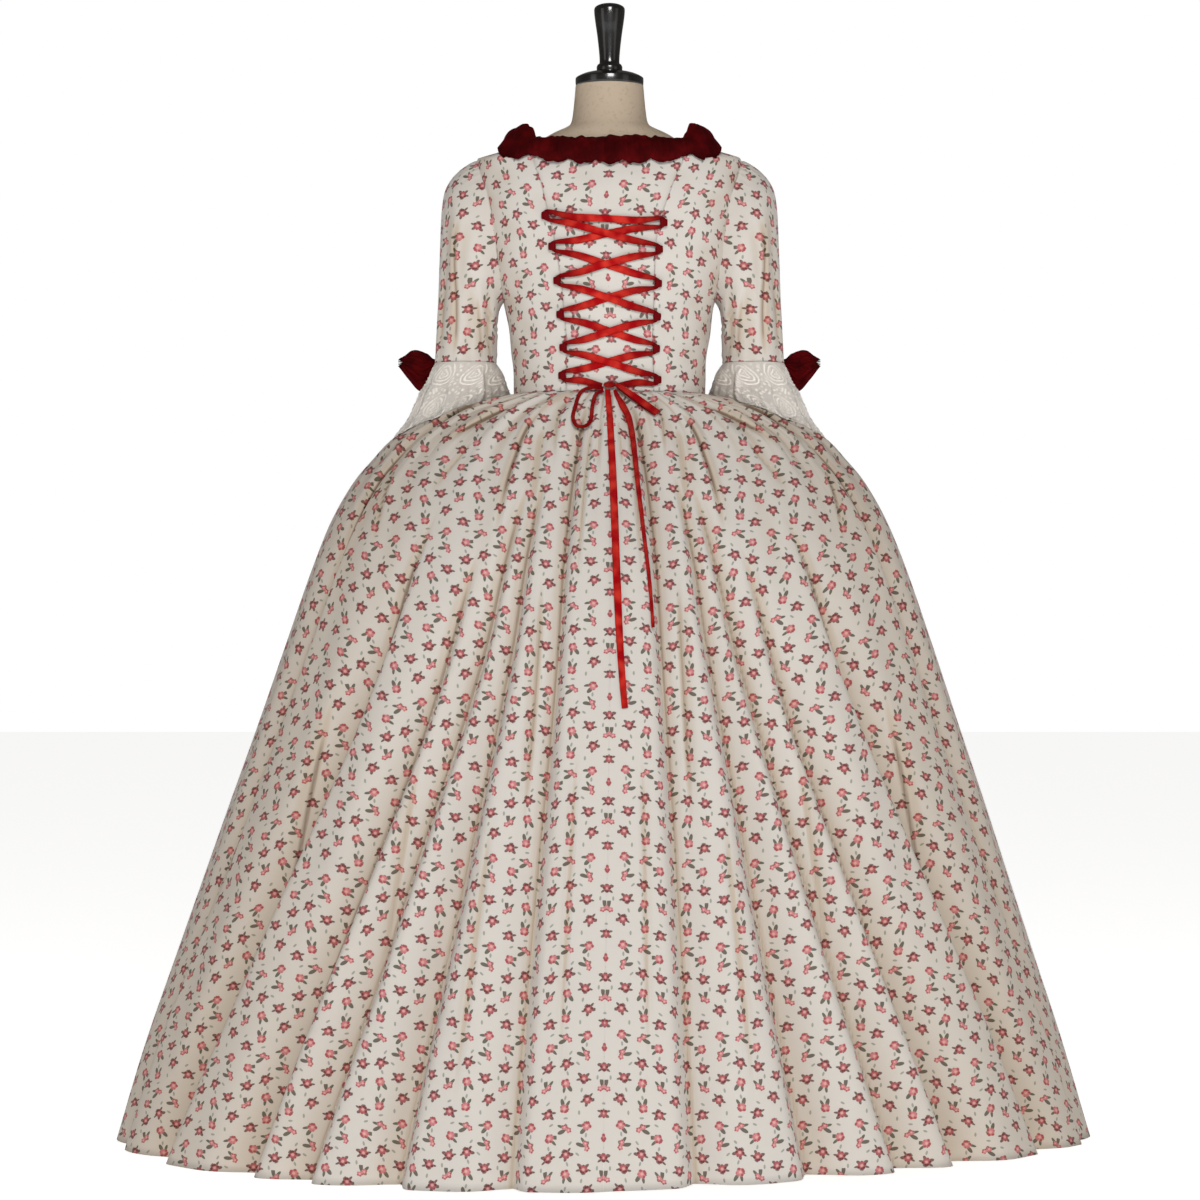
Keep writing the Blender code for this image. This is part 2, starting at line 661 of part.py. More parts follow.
def neckline_places():
    """Even places along the whole neckline, as (turn, height) pairs."""
    half = [(90 * k / 24, NECKLINE) for k in range(25)]
    for k in range(1, 25):
        height = NECKLINE + (BUST_EDGE - NECKLINE) * k / 24
        half.append((front_turn(height), height))
    half += [(front_turn(BUST_EDGE) + (180 - front_turn(BUST_EDGE)) * k / 10, BUST_EDGE)
             for k in range(1, 11)]
    ring = half + [(-turn, height) for turn, height in reversed(half[1:-1])]
    lengths = [0.0]
    for i, place in enumerate(ring):
        after = ring[(i + 1) % len(ring)]
        lengths.append(lengths[-1] + (torso_point(*after) - torso_point(*place)).length)
    even, i = [], 0
    for k in range(RUCHE_COLUMNS):
        target = lengths[-1] * k / RUCHE_COLUMNS
        while lengths[i + 1] < target:
            i += 1
        t = (target - lengths[i]) / (lengths[i + 1] - lengths[i])
        (turn, height), (turn_b, height_b) = ring[i], ring[(i + 1) % len(ring)]
        if turn_b - turn < -180:
            turn_b += 360
        even.append((turn + (turn_b - turn) * t, height + (height_b - height) * t))
    return even


def walk_torso(turn, height, direction, distance):
    """The place reached by walking over the torso in a direction for a distance."""
    steps = 6
    for _ in range(steps):
        height = min(height, NECKLINE - 0.001)
        around = torso_point(turn + 0.5, height) - torso_point(turn - 0.5, height)
        along = (torso_point(turn, height + 0.0005) - torso_point(turn, height - 0.0005)) / 0.001
        normal = around.cross(along).normalized()
        heading = (direction - normal * direction.dot(normal)).normalized()
        spread = around.dot(around) * along.dot(along) - around.dot(along) ** 2
        pull_around, pull_along = heading.dot(around), heading.dot(along)
        turn += distance / steps * (pull_around * along.dot(along)
                                    - pull_along * around.dot(along)) / spread
        height += distance / steps * (pull_along * around.dot(around)
                                      - pull_around * around.dot(along)) / spread
    return turn, height


def make_ruche():
    places = neckline_places()
    base = [torso_point(turn, height) for turn, height in places]
    normals = [torso_normal(turn, min(height, NECKLINE - 0.001)) for turn, height in places]
    count = len(places)

    def averaged(vectors, i, reach):
        total = sum((vectors[(i + k) % count] for k in range(-reach, reach + 1)), Vector())
        return total / (2 * reach + 1)

    base = [averaged(base, i, 1) for i in range(count)]
    normals = [averaged(normals, i, 1).normalized() for i in range(count)]
    lower, middle, upper = [], [], []
    for i, (turn, height) in enumerate(places):
        tangent = (base[(i + 1) % count] - base[i - 1]).normalized()
        upwards = normals[i].cross(tangent).normalized()
        wave = math.cos(2 * math.pi * i * RUCHE_WAVES / count)
        slow = math.sin(2 * math.pi * i * 7 / count)
        shoulder = smoothstep(0.090, 0.118, abs(base[i].x)) \
            * smoothstep(1.362, 1.385, base[i].z)
        fall = RUCHE_FALL - 0.010 * shoulder + RUCHE_SCALLOP * wave
        lower.append(on_torso(*walk_torso(turn, height, -upwards, fall),
                              RUCHE_SEAT + 0.0022 * (1 + wave)))
        middle.append(on_torso(*walk_torso(turn, height, -upwards, RUCHE_MIDDLE),
                               RUCHE_PUFF + 0.0015 * (1 - wave)))
        stand = (upwards + Vector((0, 0, 1)) * (0.8 + 0.8 * shoulder)).normalized()
        rise = RUCHE_RISE + SHOULDER_RISE * shoulder + 0.0015 * slow + 0.0010 * wave
        upper.append(base[i] + stand * rise + normals[i] * 0.0050)
    grid = [lower, middle, upper]
    inner = []
    for r, row in enumerate(grid):
        inner_row = []
        for i, point in enumerate(row):
            along = row[(i + 1) % count] - row[i - 1]
            up = grid[min(r + 1, len(grid) - 1)][i] - grid[max(r - 1, 0)][i]
            inner_row.append(point - along.cross(up).normalized() * VELVET_CLOTH)
        inner.append(inner_row)
    wall("neck_ruche", grid, inner, "burgundy velvet", closed=True)


# Lacing: loops on the laced edges, and one ribbon that crosses between them
LOOP_HEIGHTS = {"left": (1.2855, 1.2430, 1.1970, 1.1510, 1.1060, 1.0670),
                "right": (1.2755, 1.2390, 1.1930, 1.1480, 1.1045, 1.0615)}
LOOP_CORD = 0.0011       # radius of the loop's cord
LOOP_WIDE = 0.0046       # half the width of the loop's ring
LOOP_DEEP = 0.0026       # half its depth off the cloth
LOOP_OUT = GAP + LOOP_CORD + LOOP_DEEP
RIBBON_WIDE = 0.0092
RIBBON_BUNCHED = 0.0040  # its width where a loop gathers it
KNOT_HEIGHT = 1.054
KNOT_OUT = 0.0055
LACE_END_OUT = 0.0035


def loop_place(number, side_name):
    """The turn and height of a loop's ring."""
    height = LOOP_HEIGHTS[side_name][number]
    turn = laced_turn(height, side_name, -LOOP_WIDE)
    return (turn if side_name == "right" else -turn), height


def lacing_loop(number, side_name):
    turn, height = loop_place(number, side_name)
    centre = on_torso(turn, height, LOOP_OUT)
    out = torso_normal(turn, height)
    across = Vector((-out.y, out.x, 0.0)).normalized()
    up = out.cross(across)
    points, faces = [], []
    ring_sides, cord_sides = 8, 4
    for i in range(ring_sides):
        angle = 2 * math.pi * i / ring_sides
        spoke = (across * LOOP_WIDE * math.cos(angle) + out * LOOP_DEEP * math.sin(angle))
        away = (across * LOOP_DEEP * math.cos(angle)
                + out * LOOP_WIDE * math.sin(angle)).normalized()
        for k in range(cord_sides):
            spin = 2 * math.pi * (k + 0.5) / cord_sides
            points.append(centre + spoke + (away * math.cos(spin) + up * math.sin(spin))
                          * LOOP_CORD)
    for i in range(ring_sides):
        for k in range(cord_sides):
            i2, k2 = (i + 1) % ring_sides, (k + 1) % cord_sides
            faces.append((i * cord_sides + k, i2 * cord_sides + k,
                          i2 * cord_sides + k2, i * cord_sides + k2))
    add_piece(f"lacing_loop_{side_name}_{number + 1}", points, faces, "burgundy velvet")


def make_lace_ribbon():
    """One ribbon: up through alternate loops, across the top, and down again."""
    upward = [(5, "left"), (4, "right"), (3, "left"), (2, "right"), (1, "left"), (0, "right")]
    downward = [(0, "left"), (1, "right"), (2, "left"), (3, "right"), (4, "left"), (5, "right")]
    stops = upward + downward
    knots, lifts, widths = [], [], []

    def add(turn, height, out, width):
        knots.append(Vector((turn, height, 0.0)))
        lifts.append(out)
        widths.append(width)

    turn_scale = laced_turn(KNOT_HEIGHT, "left", 0.0) / LACED_EDGES.at(KNOT_HEIGHT, "left")
    add(-0.0085 * turn_scale, KNOT_HEIGHT - 0.001, LACE_END_OUT, 0.006)
    for order, (number, side_name) in enumerate(stops):
        turn, height = loop_place(number, side_name)
        rising = order < len(upward)
        mid_out = 0.0000 if rising else 0.0017
        if order:
            before_turn, before_height = loop_place(*stops[order - 1])
            for share in (0.25, 0.5, 0.75):
                add(before_turn + (turn - before_turn) * share,
                    before_height + (height - before_height) * share,
                    mid_out + 0.0006, RIBBON_WIDE)
        else:
            add(turn * 0.55, height + (KNOT_HEIGHT - height) * 0.55, 0.0012, RIBBON_WIDE)
        inwards = -math.copysign(1.0, turn)
        climb = 1 if rising else -1
        bend = 1.9 * inwards
        for rise, shift in ((-0.0042 * climb, bend), (0.0, 0.0), (0.0042 * climb, bend)):
            add(turn + shift, height + rise, LOOP_OUT, RIBBON_BUNCHED)
    turn, height = loop_place(*stops[-1])
    add(turn * 0.55, height + (KNOT_HEIGHT - height) * 0.55, 0.0012, RIBBON_WIDE)
    add(0.0085 * turn_scale, KNOT_HEIGHT - 0.001, LACE_END_OUT, 0.006)
    path = [on_torso(place.x, place.y, out) for place, out in zip(knots, lifts)]
    normals = [torso_normal(place.x, place.y) for place in knots]
    strip("lace_ribbon", path, normals, widths, RIBBON_CLOTH, "red satin")


def skirt_route(route, clearance):
    """Points in front of the skirt's back from (x, height, extra) rows."""
    return [Vector((x, skirt_back(x, height) - clearance - extra, height))
            for x, height, extra in route]


# The bow below the lacing, and the two hanging ends
TAIL_WIDE = 0.0100
SKIRT_REACH = 0.0055     # from the skirt's smooth form to what hangs on its pleats
# Rows are x, height and how much further out than the pleats the ribbon hangs
LONG_TAIL = (
    (-0.0030, 1.0475, 0.004), (-0.0020, 1.0350, 0.001), (0.0005, 1.0000, -0.0007),
    (0.0035, 0.9400, -0.0007), (0.0060, 0.8750, -0.0007), (0.0090, 0.7900, -0.0007),
    (0.0130, 0.7000, -0.0007), (0.0190, 0.6180, -0.0007))
SHORT_TAIL = (
    (0.0064, 1.0470, 0.003), (0.0105, 1.0370, 0.001), (0.0170, 1.0250, 0.0),
    (0.0262, 1.0050, 0.0), (0.0320, 0.9700, 0.0), (0.0375, 0.9150, 0.0),
    (0.0440, 0.8560, 0.0), (0.0520, 0.7850, 0.0), (0.0565, 0.7230, 0.0))
LOOP_LEFT = ((-0.0085, 1.0490, 0.003), (-0.0250, 1.0500, 0.004), (-0.0400, 1.0430, 0.004),
             (-0.0480, 1.0190, 0.003), (-0.0500, 1.0060, 0.003), (-0.0450, 0.9960, 0.003),
             (-0.0340, 0.9950, 0.003), (-0.0262, 1.0030, 0.003), (-0.0235, 1.0240, 0.004),
             (-0.0190, 1.0400, 0.005), (-0.0085, 1.0455, 0.006))
LOOP_RIGHT_END = (0.0620, 1.0150)


def make_bow():
    knot_y = on_torso(0, KNOT_HEIGHT, KNOT_OUT).y
    bead("bow_knot", Vector((0, knot_y, KNOT_HEIGHT)), (0.0078, 0.0055, 0.0062), "red satin")

    def hang(name, route, width, per_span, facing):
        path = smooth_path(skirt_route(route, SKIRT_REACH), per_span)
        normals = [facing for _ in path]
        strip(name, path, normals, [width] * len(path), RIBBON_CLOTH, "red satin")

    hang("ribbon_tail_long", LONG_TAIL, TAIL_WIDE, 3, Vector((0.0, -1.0, 0.35)))
    hang("ribbon_tail_short", SHORT_TAIL, TAIL_WIDE, 3, Vector((-0.6, -0.8, 0.3)))
    hang("bow_loop_left", LOOP_LEFT, 0.0055, 2, Vector((0.0, -1.0, 0.6)))

    start = Vector((0.0086, knot_y - 0.0020, KNOT_HEIGHT + 0.0005))
    end = Vector((LOOP_RIGHT_END[0], 0.0, LOOP_RIGHT_END[1]))
    end.y = skirt_back(end.x, end.z) - 0.0110
    out = Vector((0.0, -1.0, 0.6)).normalized()
    run = (end - start).normalized()
    fold = 0.0014
    path = [start - out * fold, start + (end - start) * 0.5 - out * fold * 1.5,
            end - out * fold, end + run * fold, end + out * fold,
            start + (end - start) * 0.5 + out * fold * 1.5, start + out * fold]
    facing = [-out, -out, (run - out), run, (run + out), out, out]
    strip("bow_loop_right", path, facing, [0.0060, 0.0100, 0.0105, 0.0105, 0.0105, 0.0100, 0.0060],
          RIBBON_CLOTH, "red satin")


# Dress form and stand: below the waist, and above the neckline
HIPS = Profile(
    ("height", "side", "back", "front"),
    ((0.8000, 0.1480, 0.1050, 0.1000),
     (0.8300, 0.1580, 0.1120, 0.1060),
     (0.8900, 0.1600, 0.1150, 0.1090),
     (0.9500, 0.1520, 0.1100, 0.1070),
     (1.0000, 0.1380, 0.0980, 0.1040),
     (1.0300, 0.1310, 0.0895, 0.1020)))
NECK = Profile(
    ("height", "side", "back", "front"),
    ((1.3790, 0.1470, 0.0735, 0.0620),
     (1.3830, 0.1310, 0.0705, 0.0570),
     (1.3880, 0.1150, 0.0670, 0.0535),
     (1.4020, 0.0950, 0.0620, 0.0525),
     (1.4114, 0.0790, 0.0590, 0.0520),
     (1.4190, 0.0620, 0.0555, 0.0510),
     (1.4260, 0.0540, 0.0525, 0.0500),
     (1.4450, 0.0505, 0.0495, 0.0485),
     (1.4780, 0.0475, 0.0475, 0.0475)))
SIDE_CLEARANCE = 0.0040  # how much further in the form lies at the armholes
FORM_SIDES = 30
POLE_RADIUS = 0.016
FOOT_RADIUS = 0.170
FOOT_THICK = 0.020


def form_ring(height):
    """One section of the form: hips, then inside the bodice, then the neck."""
    turns = [360 * k / FORM_SIDES for k in range(FORM_SIDES)]
    if WAIST < height <= SHOULDER:
        return [on_torso(turn, height,
                         -FORM_CLEARANCE - SIDE_CLEARANCE * math.sin(math.radians(turn)) ** 4)
                for turn in turns]
    table = HIPS if height < WAIST else NECK
    squareness = BODY_SQUARENESS + (2 - BODY_SQUARENESS) * smoothstep(SHOULDER, 1.45, height)
    ring = []
    for turn in turns:
        x, y = rounded_section(turn, table.at(height, "side"), table.at(height, "back"),
                               table.at(height, "front"), squareness)
        ring.append(Vector((x, y, height)))
    return ring


def make_form():
    heights = list(HIPS.stations)
    heights += [h for h in BODICE_ROWS if h <= SHOULDER and h not in (UNDERARM, 1.366)]
    heights += list(NECK.stations)
    points = [point for height in heights for point in form_ring(height)]
    faces = []
    for i in range(len(heights) - 1):
        for k in range(FORM_SIDES):
            after = (k + 1) % FORM_SIDES
            faces.append((i * FORM_SIDES + k, i * FORM_SIDES + after,
                          (i + 1) * FORM_SIDES + after, (i + 1) * FORM_SIDES + k))
    faces.append(tuple(range(FORM_SIDES)))
    top = (len(heights) - 1) * FORM_SIDES
    faces.append(tuple(range(top, top + FORM_SIDES)))
    add_piece("form_torso", points, faces, "linen form")

    neck_top = NECK.stations[-1]
    turned("form_neck_cap",
           ((0.0460, neck_top + GAP), (0.0472, neck_top + 0.0015), (0.0476, neck_top + 0.0090),
            (0.0462, neck_top + 0.0122), (0.0360, neck_top + 0.0170),
            (0.0210, neck_top + 0.0205), (0.0080, neck_top + 0.0214)), 24, "black lacquer")
    ring = neck_top + 0.0214 + GAP
    turned("form_finial",
           ((0.0178, ring), (0.0180, ring + 0.0050), (0.0165, ring + 0.0085),
            (0.0140, ring + 0.0110), (0.0145, ring + 0.0250), (0.0170, ring + 0.0480),
            (0.0200, ring + 0.0690), (0.0214, ring + 0.0820), (0.0205, ring + 0.0885),
            (0.0140, ring + 0.0925), (0.0040, ring + 0.0945)), 12, "black lacquer")
    turned("form_foot",
           ((FOOT_RADIUS - 0.004, 0.0), (FOOT_RADIUS, 0.004), (FOOT_RADIUS, 0.010),
            (FOOT_RADIUS - 0.012, FOOT_THICK - 0.004), (0.040, FOOT_THICK - 0.001),
            (0.022, FOOT_THICK)), 28, "black lacquer")
    turned("form_pole",
           ((POLE_RADIUS, FOOT_THICK + GAP), (POLE_RADIUS, HIPS.stations[0] - GAP)),
           16, "steel")


def main():
    make_form()
    make_bodice()
    for side, side_name in ((RIGHT, "right"), (LEFT, "left")):
        tube(f"sleeve_{side_name}", sleeve_point, sleeve_angles(), SLEEVE_ROWS,
             (1.0,), BODICE_CLOTH, "printed cotton", side)
        ring = [360 * k / FLOUNCE_COLUMNS for k in range(FLOUNCE_COLUMNS)]
        tube(f"cuff_flounce_{side_name}", flounce_point, ring, FLOUNCE_ROWS,
             (0.0,), LACE_CLOTH, "cream lace", side)
        elbow_bow(side, side_name)
    make_ruche()
    for side_name, heights in LOOP_HEIGHTS.items():
        for number in range(len(heights)):
            lacing_loop(number, side_name)
    make_lace_ribbon()
    make_bow()
    skirt_panel("skirt_back_right", 0, 90)
    skirt_panel("skirt_front_right", 90, 180)
    skirt_panel("skirt_front_left", 180, 270)
    skirt_panel("skirt_back_left", 270, 360)


main()
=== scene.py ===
# %% [markdown]
# A floor-length ball gown with a laced back, on a limbless dress form. The solids of the
# part are already in the frame; this file gives each cloth piece its thin, gathered and
# stitched shape and each surface its finish. Everything is in metres, with the laced back
# of the gown facing -Y and the wearer's right hand side at +X.

# %% The frame
import math

import bmesh
import bpy
import numpy as np
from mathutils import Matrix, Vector


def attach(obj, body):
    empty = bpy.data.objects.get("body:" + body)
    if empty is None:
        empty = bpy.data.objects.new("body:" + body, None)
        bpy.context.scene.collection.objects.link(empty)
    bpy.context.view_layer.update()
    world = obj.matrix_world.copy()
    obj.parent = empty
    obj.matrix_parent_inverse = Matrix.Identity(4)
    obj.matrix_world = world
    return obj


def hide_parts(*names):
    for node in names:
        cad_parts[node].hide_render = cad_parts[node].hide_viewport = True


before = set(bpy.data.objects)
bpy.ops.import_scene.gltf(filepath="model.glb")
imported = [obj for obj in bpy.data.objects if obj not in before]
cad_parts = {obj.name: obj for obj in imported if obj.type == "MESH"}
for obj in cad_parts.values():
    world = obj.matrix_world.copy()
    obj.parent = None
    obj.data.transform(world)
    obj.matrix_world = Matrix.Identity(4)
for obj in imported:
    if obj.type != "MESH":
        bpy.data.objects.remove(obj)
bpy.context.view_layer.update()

# %% [markdown]
# The gown was photographed square on, from the height of its middle. One pixel of the
# 1200 pixel square is 1.40 mm at the gown's middle plane, so the lens follows from how far
# back the camera stands. A distance of 4.5 m keeps the hem's front edge as low as it is in
# the picture without bending the sides.

# %% The camera
PHOTO_PIXELS = 1200
METRES_PER_PIXEL = 0.00140
CAMERA_BACK = 4.5
SENSOR = 36.0             # millimetres
ASIDE, EYE_HEIGHT = -0.0133, 0.759

camera_data = bpy.data.cameras.new("camera")
camera_data.sensor_width = SENSOR
camera_data.lens = SENSOR * CAMERA_BACK / (PHOTO_PIXELS * METRES_PER_PIXEL)
camera = bpy.data.objects.new("camera", camera_data)
camera.location = (ASIDE, -CAMERA_BACK, EYE_HEIGHT)
camera.rotation_euler = (math.pi / 2, 0.0, 0.0)
bpy.context.scene.collection.objects.link(camera)
bpy.context.scene.camera = camera
print("lens:", round(camera_data.lens, 1), "mm")

# %% [markdown]
# A worn bodice and a gathered skirt are stacks of rounded sections. Each stack is a short
# table, read as smooth curves that never overshoot their rows. Reading whole arrays at once
# keeps the fine meshes quick, and the tables are those of the solids, so that each cloth
# lies where its solid does.

# %% Tables read as smooth curves
def curve_slopes(stations, values):
    steps = np.diff(values) / np.diff(stations)
    before, after = steps[:-1], steps[1:]
    rising = before * after > 0
    total = np.where(rising, before + after, 1.0)
    inner = np.where(rising, 2 * before * after / total, 0.0)
    return np.concatenate([steps[:1], inner, steps[-1:]])


class Profile:
    """A short table whose first column is the station, read as smooth curves."""

    def __init__(self, names, rows):
        self.stations = np.array([row[0] for row in rows])
        self.columns = {name: np.array([row[i] for row in rows])
                        for i, name in enumerate(names)}
        self.slopes = {name: curve_slopes(self.stations, column)
                       for name, column in self.columns.items()}

    def at(self, station, name):
        values, slopes = self.columns[name], self.slopes[name]
        station = np.clip(station, self.stations[0], self.stations[-1])
        i = np.searchsorted(self.stations, station, side="right") - 1
        i = np.clip(i, 0, len(self.stations) - 2)
        width = self.stations[i + 1] - self.stations[i]
        t = (station - self.stations[i]) / width
        return (values[i] * (1 + 2 * t) * (1 - t) ** 2 + values[i + 1] * t * t * (3 - 2 * t)
                + width * (slopes[i] * t * (1 - t) ** 2 - slopes[i + 1] * t * t * (1 - t)))


# %% Small helpers for whole arrays
FULL_TURN = 2 * math.pi
SIDES = ((1, "right"), (-1, "left"))      # the left piece is the right one mirrored


def smoothstep(low, high, value):
    t = np.clip((value - low) / (high - low), 0.0, 1.0)
    return t * t * (3 - 2 * t)


def points_of(x, y, z):
    return np.stack(np.broadcast_arrays(x, y, z), axis=-1).astype(float)


def unit(vectors):
    return vectors / np.maximum(np.linalg.norm(vectors, axis=-1, keepdims=True), 1e-12)


def compass(degrees):
    """A level direction: 0 is the wearer's right, 90 the front."""
    radians = math.radians(degrees)
    return np.array((math.cos(radians), math.sin(radians), 0.0))


def signed_power(value, power):
    return np.copysign(np.abs(value) ** power, value)


print("halfway up a smooth step:", smoothstep(0.0, 1.0, 0.5))


# %% Rounded sections of a body
def rounded_section(turn, side, back, front, squareness):
    """Body-like sections: turn 0 is the centre back, 90 the right side, 180 the front."""
    angle = np.radians(turn)
    x = side * signed_power(np.sin(angle), 2 / squareness)
    depth = np.where(np.cos(angle) > 0, back, front)
    return x, -depth * signed_power(np.cos(angle), 2 / squareness)


def turn_of(x, side, squareness):
    return np.degrees(np.arcsin(np.minimum(x / side, 1.0) ** (squareness / 2)))


def slope_normal(surface, u, v, step_u, step_v):
    across = surface(u + step_u, v) - surface(u - step_u, v)
    along = surface(u, v + step_v) - surface(u, v - step_v)
    return unit(np.cross(across, along))


def from_centre(turn):
    """Degrees from the centre back or the centre front, whichever is nearer."""
    return np.minimum(turn % 180, 180 - turn % 180)


print("a round section, from the centre back:",
      [np.round(rounded_section(turn, 1.0, 1.0, 1.0, 2.0), 2).tolist() for turn in (0, 90)])


# %% [markdown]
# A worn garment is cloth of a real thickness, so each piece is made as two skins with a
# rim between them: the face of the cloth outside and its plain reverse or lining inside.
# A modifier could thicken a single skin, but making both skins here keeps the cut edges
# and the flat pattern coordinates, which are in metres, under control.

# %% Meshes from grids of points
SKIN = 0.0011            # how thick the cloth is
WELD = 1e-6              # points nearer than this are one
ALL_PIECES = []


def grid_normals(grid, inside):
    across = np.gradient(grid, axis=1)
    along = np.gradient(grid, axis=0)
    normals = unit(np.cross(across, along))
    if np.sum(normals * (grid - inside)) < 0:
        normals = -normals
    return normals


def grid_faces(rows, columns, start=0):
    i, j = np.meshgrid(np.arange(rows - 1), np.arange(columns - 1), indexing="ij")
    corner = (start + i * columns + j).ravel()
    return np.stack([corner, corner + 1, corner + columns + 1, corner + columns], axis=1)


def link_mesh(name, vertices, faces, materials, uv=None, marks=None, material_index=None,
              weld=False, sharp=None):
    """One mesh object riding on the part, with its cloth coordinates and named marks."""
    mesh = bpy.data.meshes.new(name)
    mesh.from_pydata(vertices.tolist(), [], [tuple(face) for face in faces])
    for material in materials:
        mesh.materials.append(material)
    if material_index is not None:
        mesh.polygons.foreach_set("material_index", material_index)
    if uv is not None:
        corners = np.zeros(len(mesh.loops), int)
        mesh.loops.foreach_get("vertex_index", corners)
        layer = mesh.uv_layers.new(name="cloth")
        layer.data.foreach_set("uv", uv[corners].astype(np.float32).ravel())
    for mark, values in (marks or {}).items():
        attribute = mesh.attributes.new(mark, "FLOAT", "POINT")
        attribute.data.foreach_set("value", np.asarray(values, np.float32).ravel())
    if weld:
        work = bmesh.new()
        work.from_mesh(mesh)
        bmesh.ops.remove_doubles(work, verts=work.verts, dist=WELD)
        work.to_mesh(mesh)
        work.free()
    mesh.shade_smooth()
    if sharp:
        mesh.set_sharp_from_angle(angle=math.radians(sharp))
    piece = bpy.data.objects.new(name, mesh)
    bpy.context.scene.collection.objects.link(piece)
    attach(piece, "root")
    ALL_PIECES.append(piece)
    return piece


# %% Two skins and a rim
def cloth(name, outer, uv, face, reverse, inside, thickness=SKIN, weld=False, marks=None):
    """Two skins and a rim from a grid of outer points."""
    rows, columns = outer.shape[:2]
    count = rows * columns
    normals = grid_normals(outer, inside)
    inner = outer - normals * thickness
    quads = grid_faces(rows, columns)
    order = quads if np.sum(np.cross(outer[0, 1] - outer[0, 0], outer[1, 0] - outer[0, 0])
                            * normals[0, 0]) > 0 else quads[:, ::-1]
    top, left = np.arange(columns), np.arange(rows) * columns
    rims = []
    for edge, turned in ((top, False), (top + count - columns, True),
                         (left, True), (left + columns - 1, False)):
        if weld and edge[0] in (0, columns - 1) and edge[1] - edge[0] == columns:
            continue
        strip = np.stack([edge[:-1], edge[1:], edge[1:] + count, edge[:-1] + count], axis=1)
        flip = turned != (order is quads)
        rims.append(strip[:, ::-1] if not flip else strip)
    faces = np.concatenate([order, order[:, ::-1] + count, *rims])
    index = np.zeros(len(faces), int)
    index[len(order):2 * len(order)] = 1
    vertices = np.concatenate([outer.reshape(-1, 3), inner.reshape(-1, 3)])
    doubled = np.concatenate([uv.reshape(-1, 2)] * 2)
    both = {mark: np.concatenate([np.ravel(v), np.ravel(v)]) for mark, v in (marks or {}).items()}
    return link_mesh(name, vertices, faces, [face, reverse], doubled, both, index, weld)


# %% Measuring cloth
def row_distance(grid, start_column):
    """Distance along each row of a grid from a column, which the cloth was cut from."""
    steps = np.linalg.norm(np.diff(grid, axis=1), axis=-1)
    along = np.concatenate([np.zeros((len(grid), 1)), np.cumsum(steps, axis=1)], axis=1)
    return np.abs(along - along[:, start_column][:, None])


def column_distance(grid):
    steps = np.linalg.norm(np.diff(grid, axis=0), axis=-1)
    return np.concatenate([np.zeros((1, grid.shape[1])), np.cumsum(steps, axis=0)])


def refine(grid, per_span):
    """More rows between the given ones, on smooth curves through them."""
    padded = np.concatenate([grid[:1], grid, grid[-1:]])
    rows = []
    for i in range(len(grid) - 1):
        before, start, end, after = padded[i:i + 4]
        for k in range(per_span):
            t = k / per_span
            rows.append(0.5 * (2 * start + (end - before) * t
                               + (2 * before - 5 * start + 4 * end - after) * t * t
                               + (3 * start - before - 3 * end + after) * t ** 3))
    rows.append(grid[-1])
    return np.array(rows)


def surface_area(grid):
    a, b = grid[1:, 1:] - grid[:-1, :-1], grid[1:, :-1] - grid[:-1, 1:]
    return float(np.sum(np.linalg.norm(np.cross(a, b), axis=-1)) / 2)


def sewn(piece, node, grid):
    """The cloth takes its solid's place and states the cut of what shows of it."""
    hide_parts(node)
    width = float(row_distance(grid, 0)[:, -1].max())
    length = float(column_distance(grid)[-1].max())
    area = min(surface_area(grid), width * length)
    print(piece.name, "cut", round(width, 3), "x", round(length, 3), "m,",
          round(area, 4), "square metres")


# %% [markdown]
# A finish is a small graph of nodes. Writing each node by hand hides the idea, so a field
# stands for one number that varies over the surface, and the sum or product of two fields
# adds the maths node that makes it. A flower is then a line of plain arithmetic.

# %% Fields
class Field:
    """A number that varies over a surface; arithmetic on fields adds maths nodes."""

    def __init__(self, tree, socket):
        self.tree, self.socket = tree, socket

    def maths(self, operation, *others):
        node = self.tree.nodes.new("ShaderNodeMath")
        node.operation = operation
        for socket, value in zip(node.inputs, (self, *others)):
            if isinstance(value, Field):
                self.tree.links.new(value.socket, socket)
            else:
                socket.default_value = value
        return Field(self.tree, node.outputs[0])

    def __add__(self, other):
        return self.maths("ADD", other)

    def __sub__(self, other):
        return self.maths("SUBTRACT", other)

    def __mul__(self, other):
        return self.maths("MULTIPLY", other)

    def __truediv__(self, other):
        return self.maths("DIVIDE", other)

    def power(self, exponent):
        return self.maths("POWER", exponent)

    def modulo(self, length):
        return self.maths("FLOORED_MODULO", length)

    def floor(self):
        return self.maths("FLOOR")

    def size(self):
        return self.maths("ABSOLUTE")

    def cosine(self):
        return self.maths("COSINE")

    def sine(self):
        return self.maths("SINE")

    def inverse(self):
        return self * -1.0 + 1.0

    def above(self, edge, blur):
        """0 below the edge and 1 above it, with a soft step between."""
        node = self.tree.nodes.new("ShaderNodeMapRange")
        node.interpolation_type = "SMOOTHSTEP"
        self.tree.links.new(self.socket, node.inputs["Value"])
        node.inputs["From Min"].default_value = edge - blur
        node.inputs["From Max"].default_value = edge + blur
        return Field(self.tree, node.outputs["Result"])


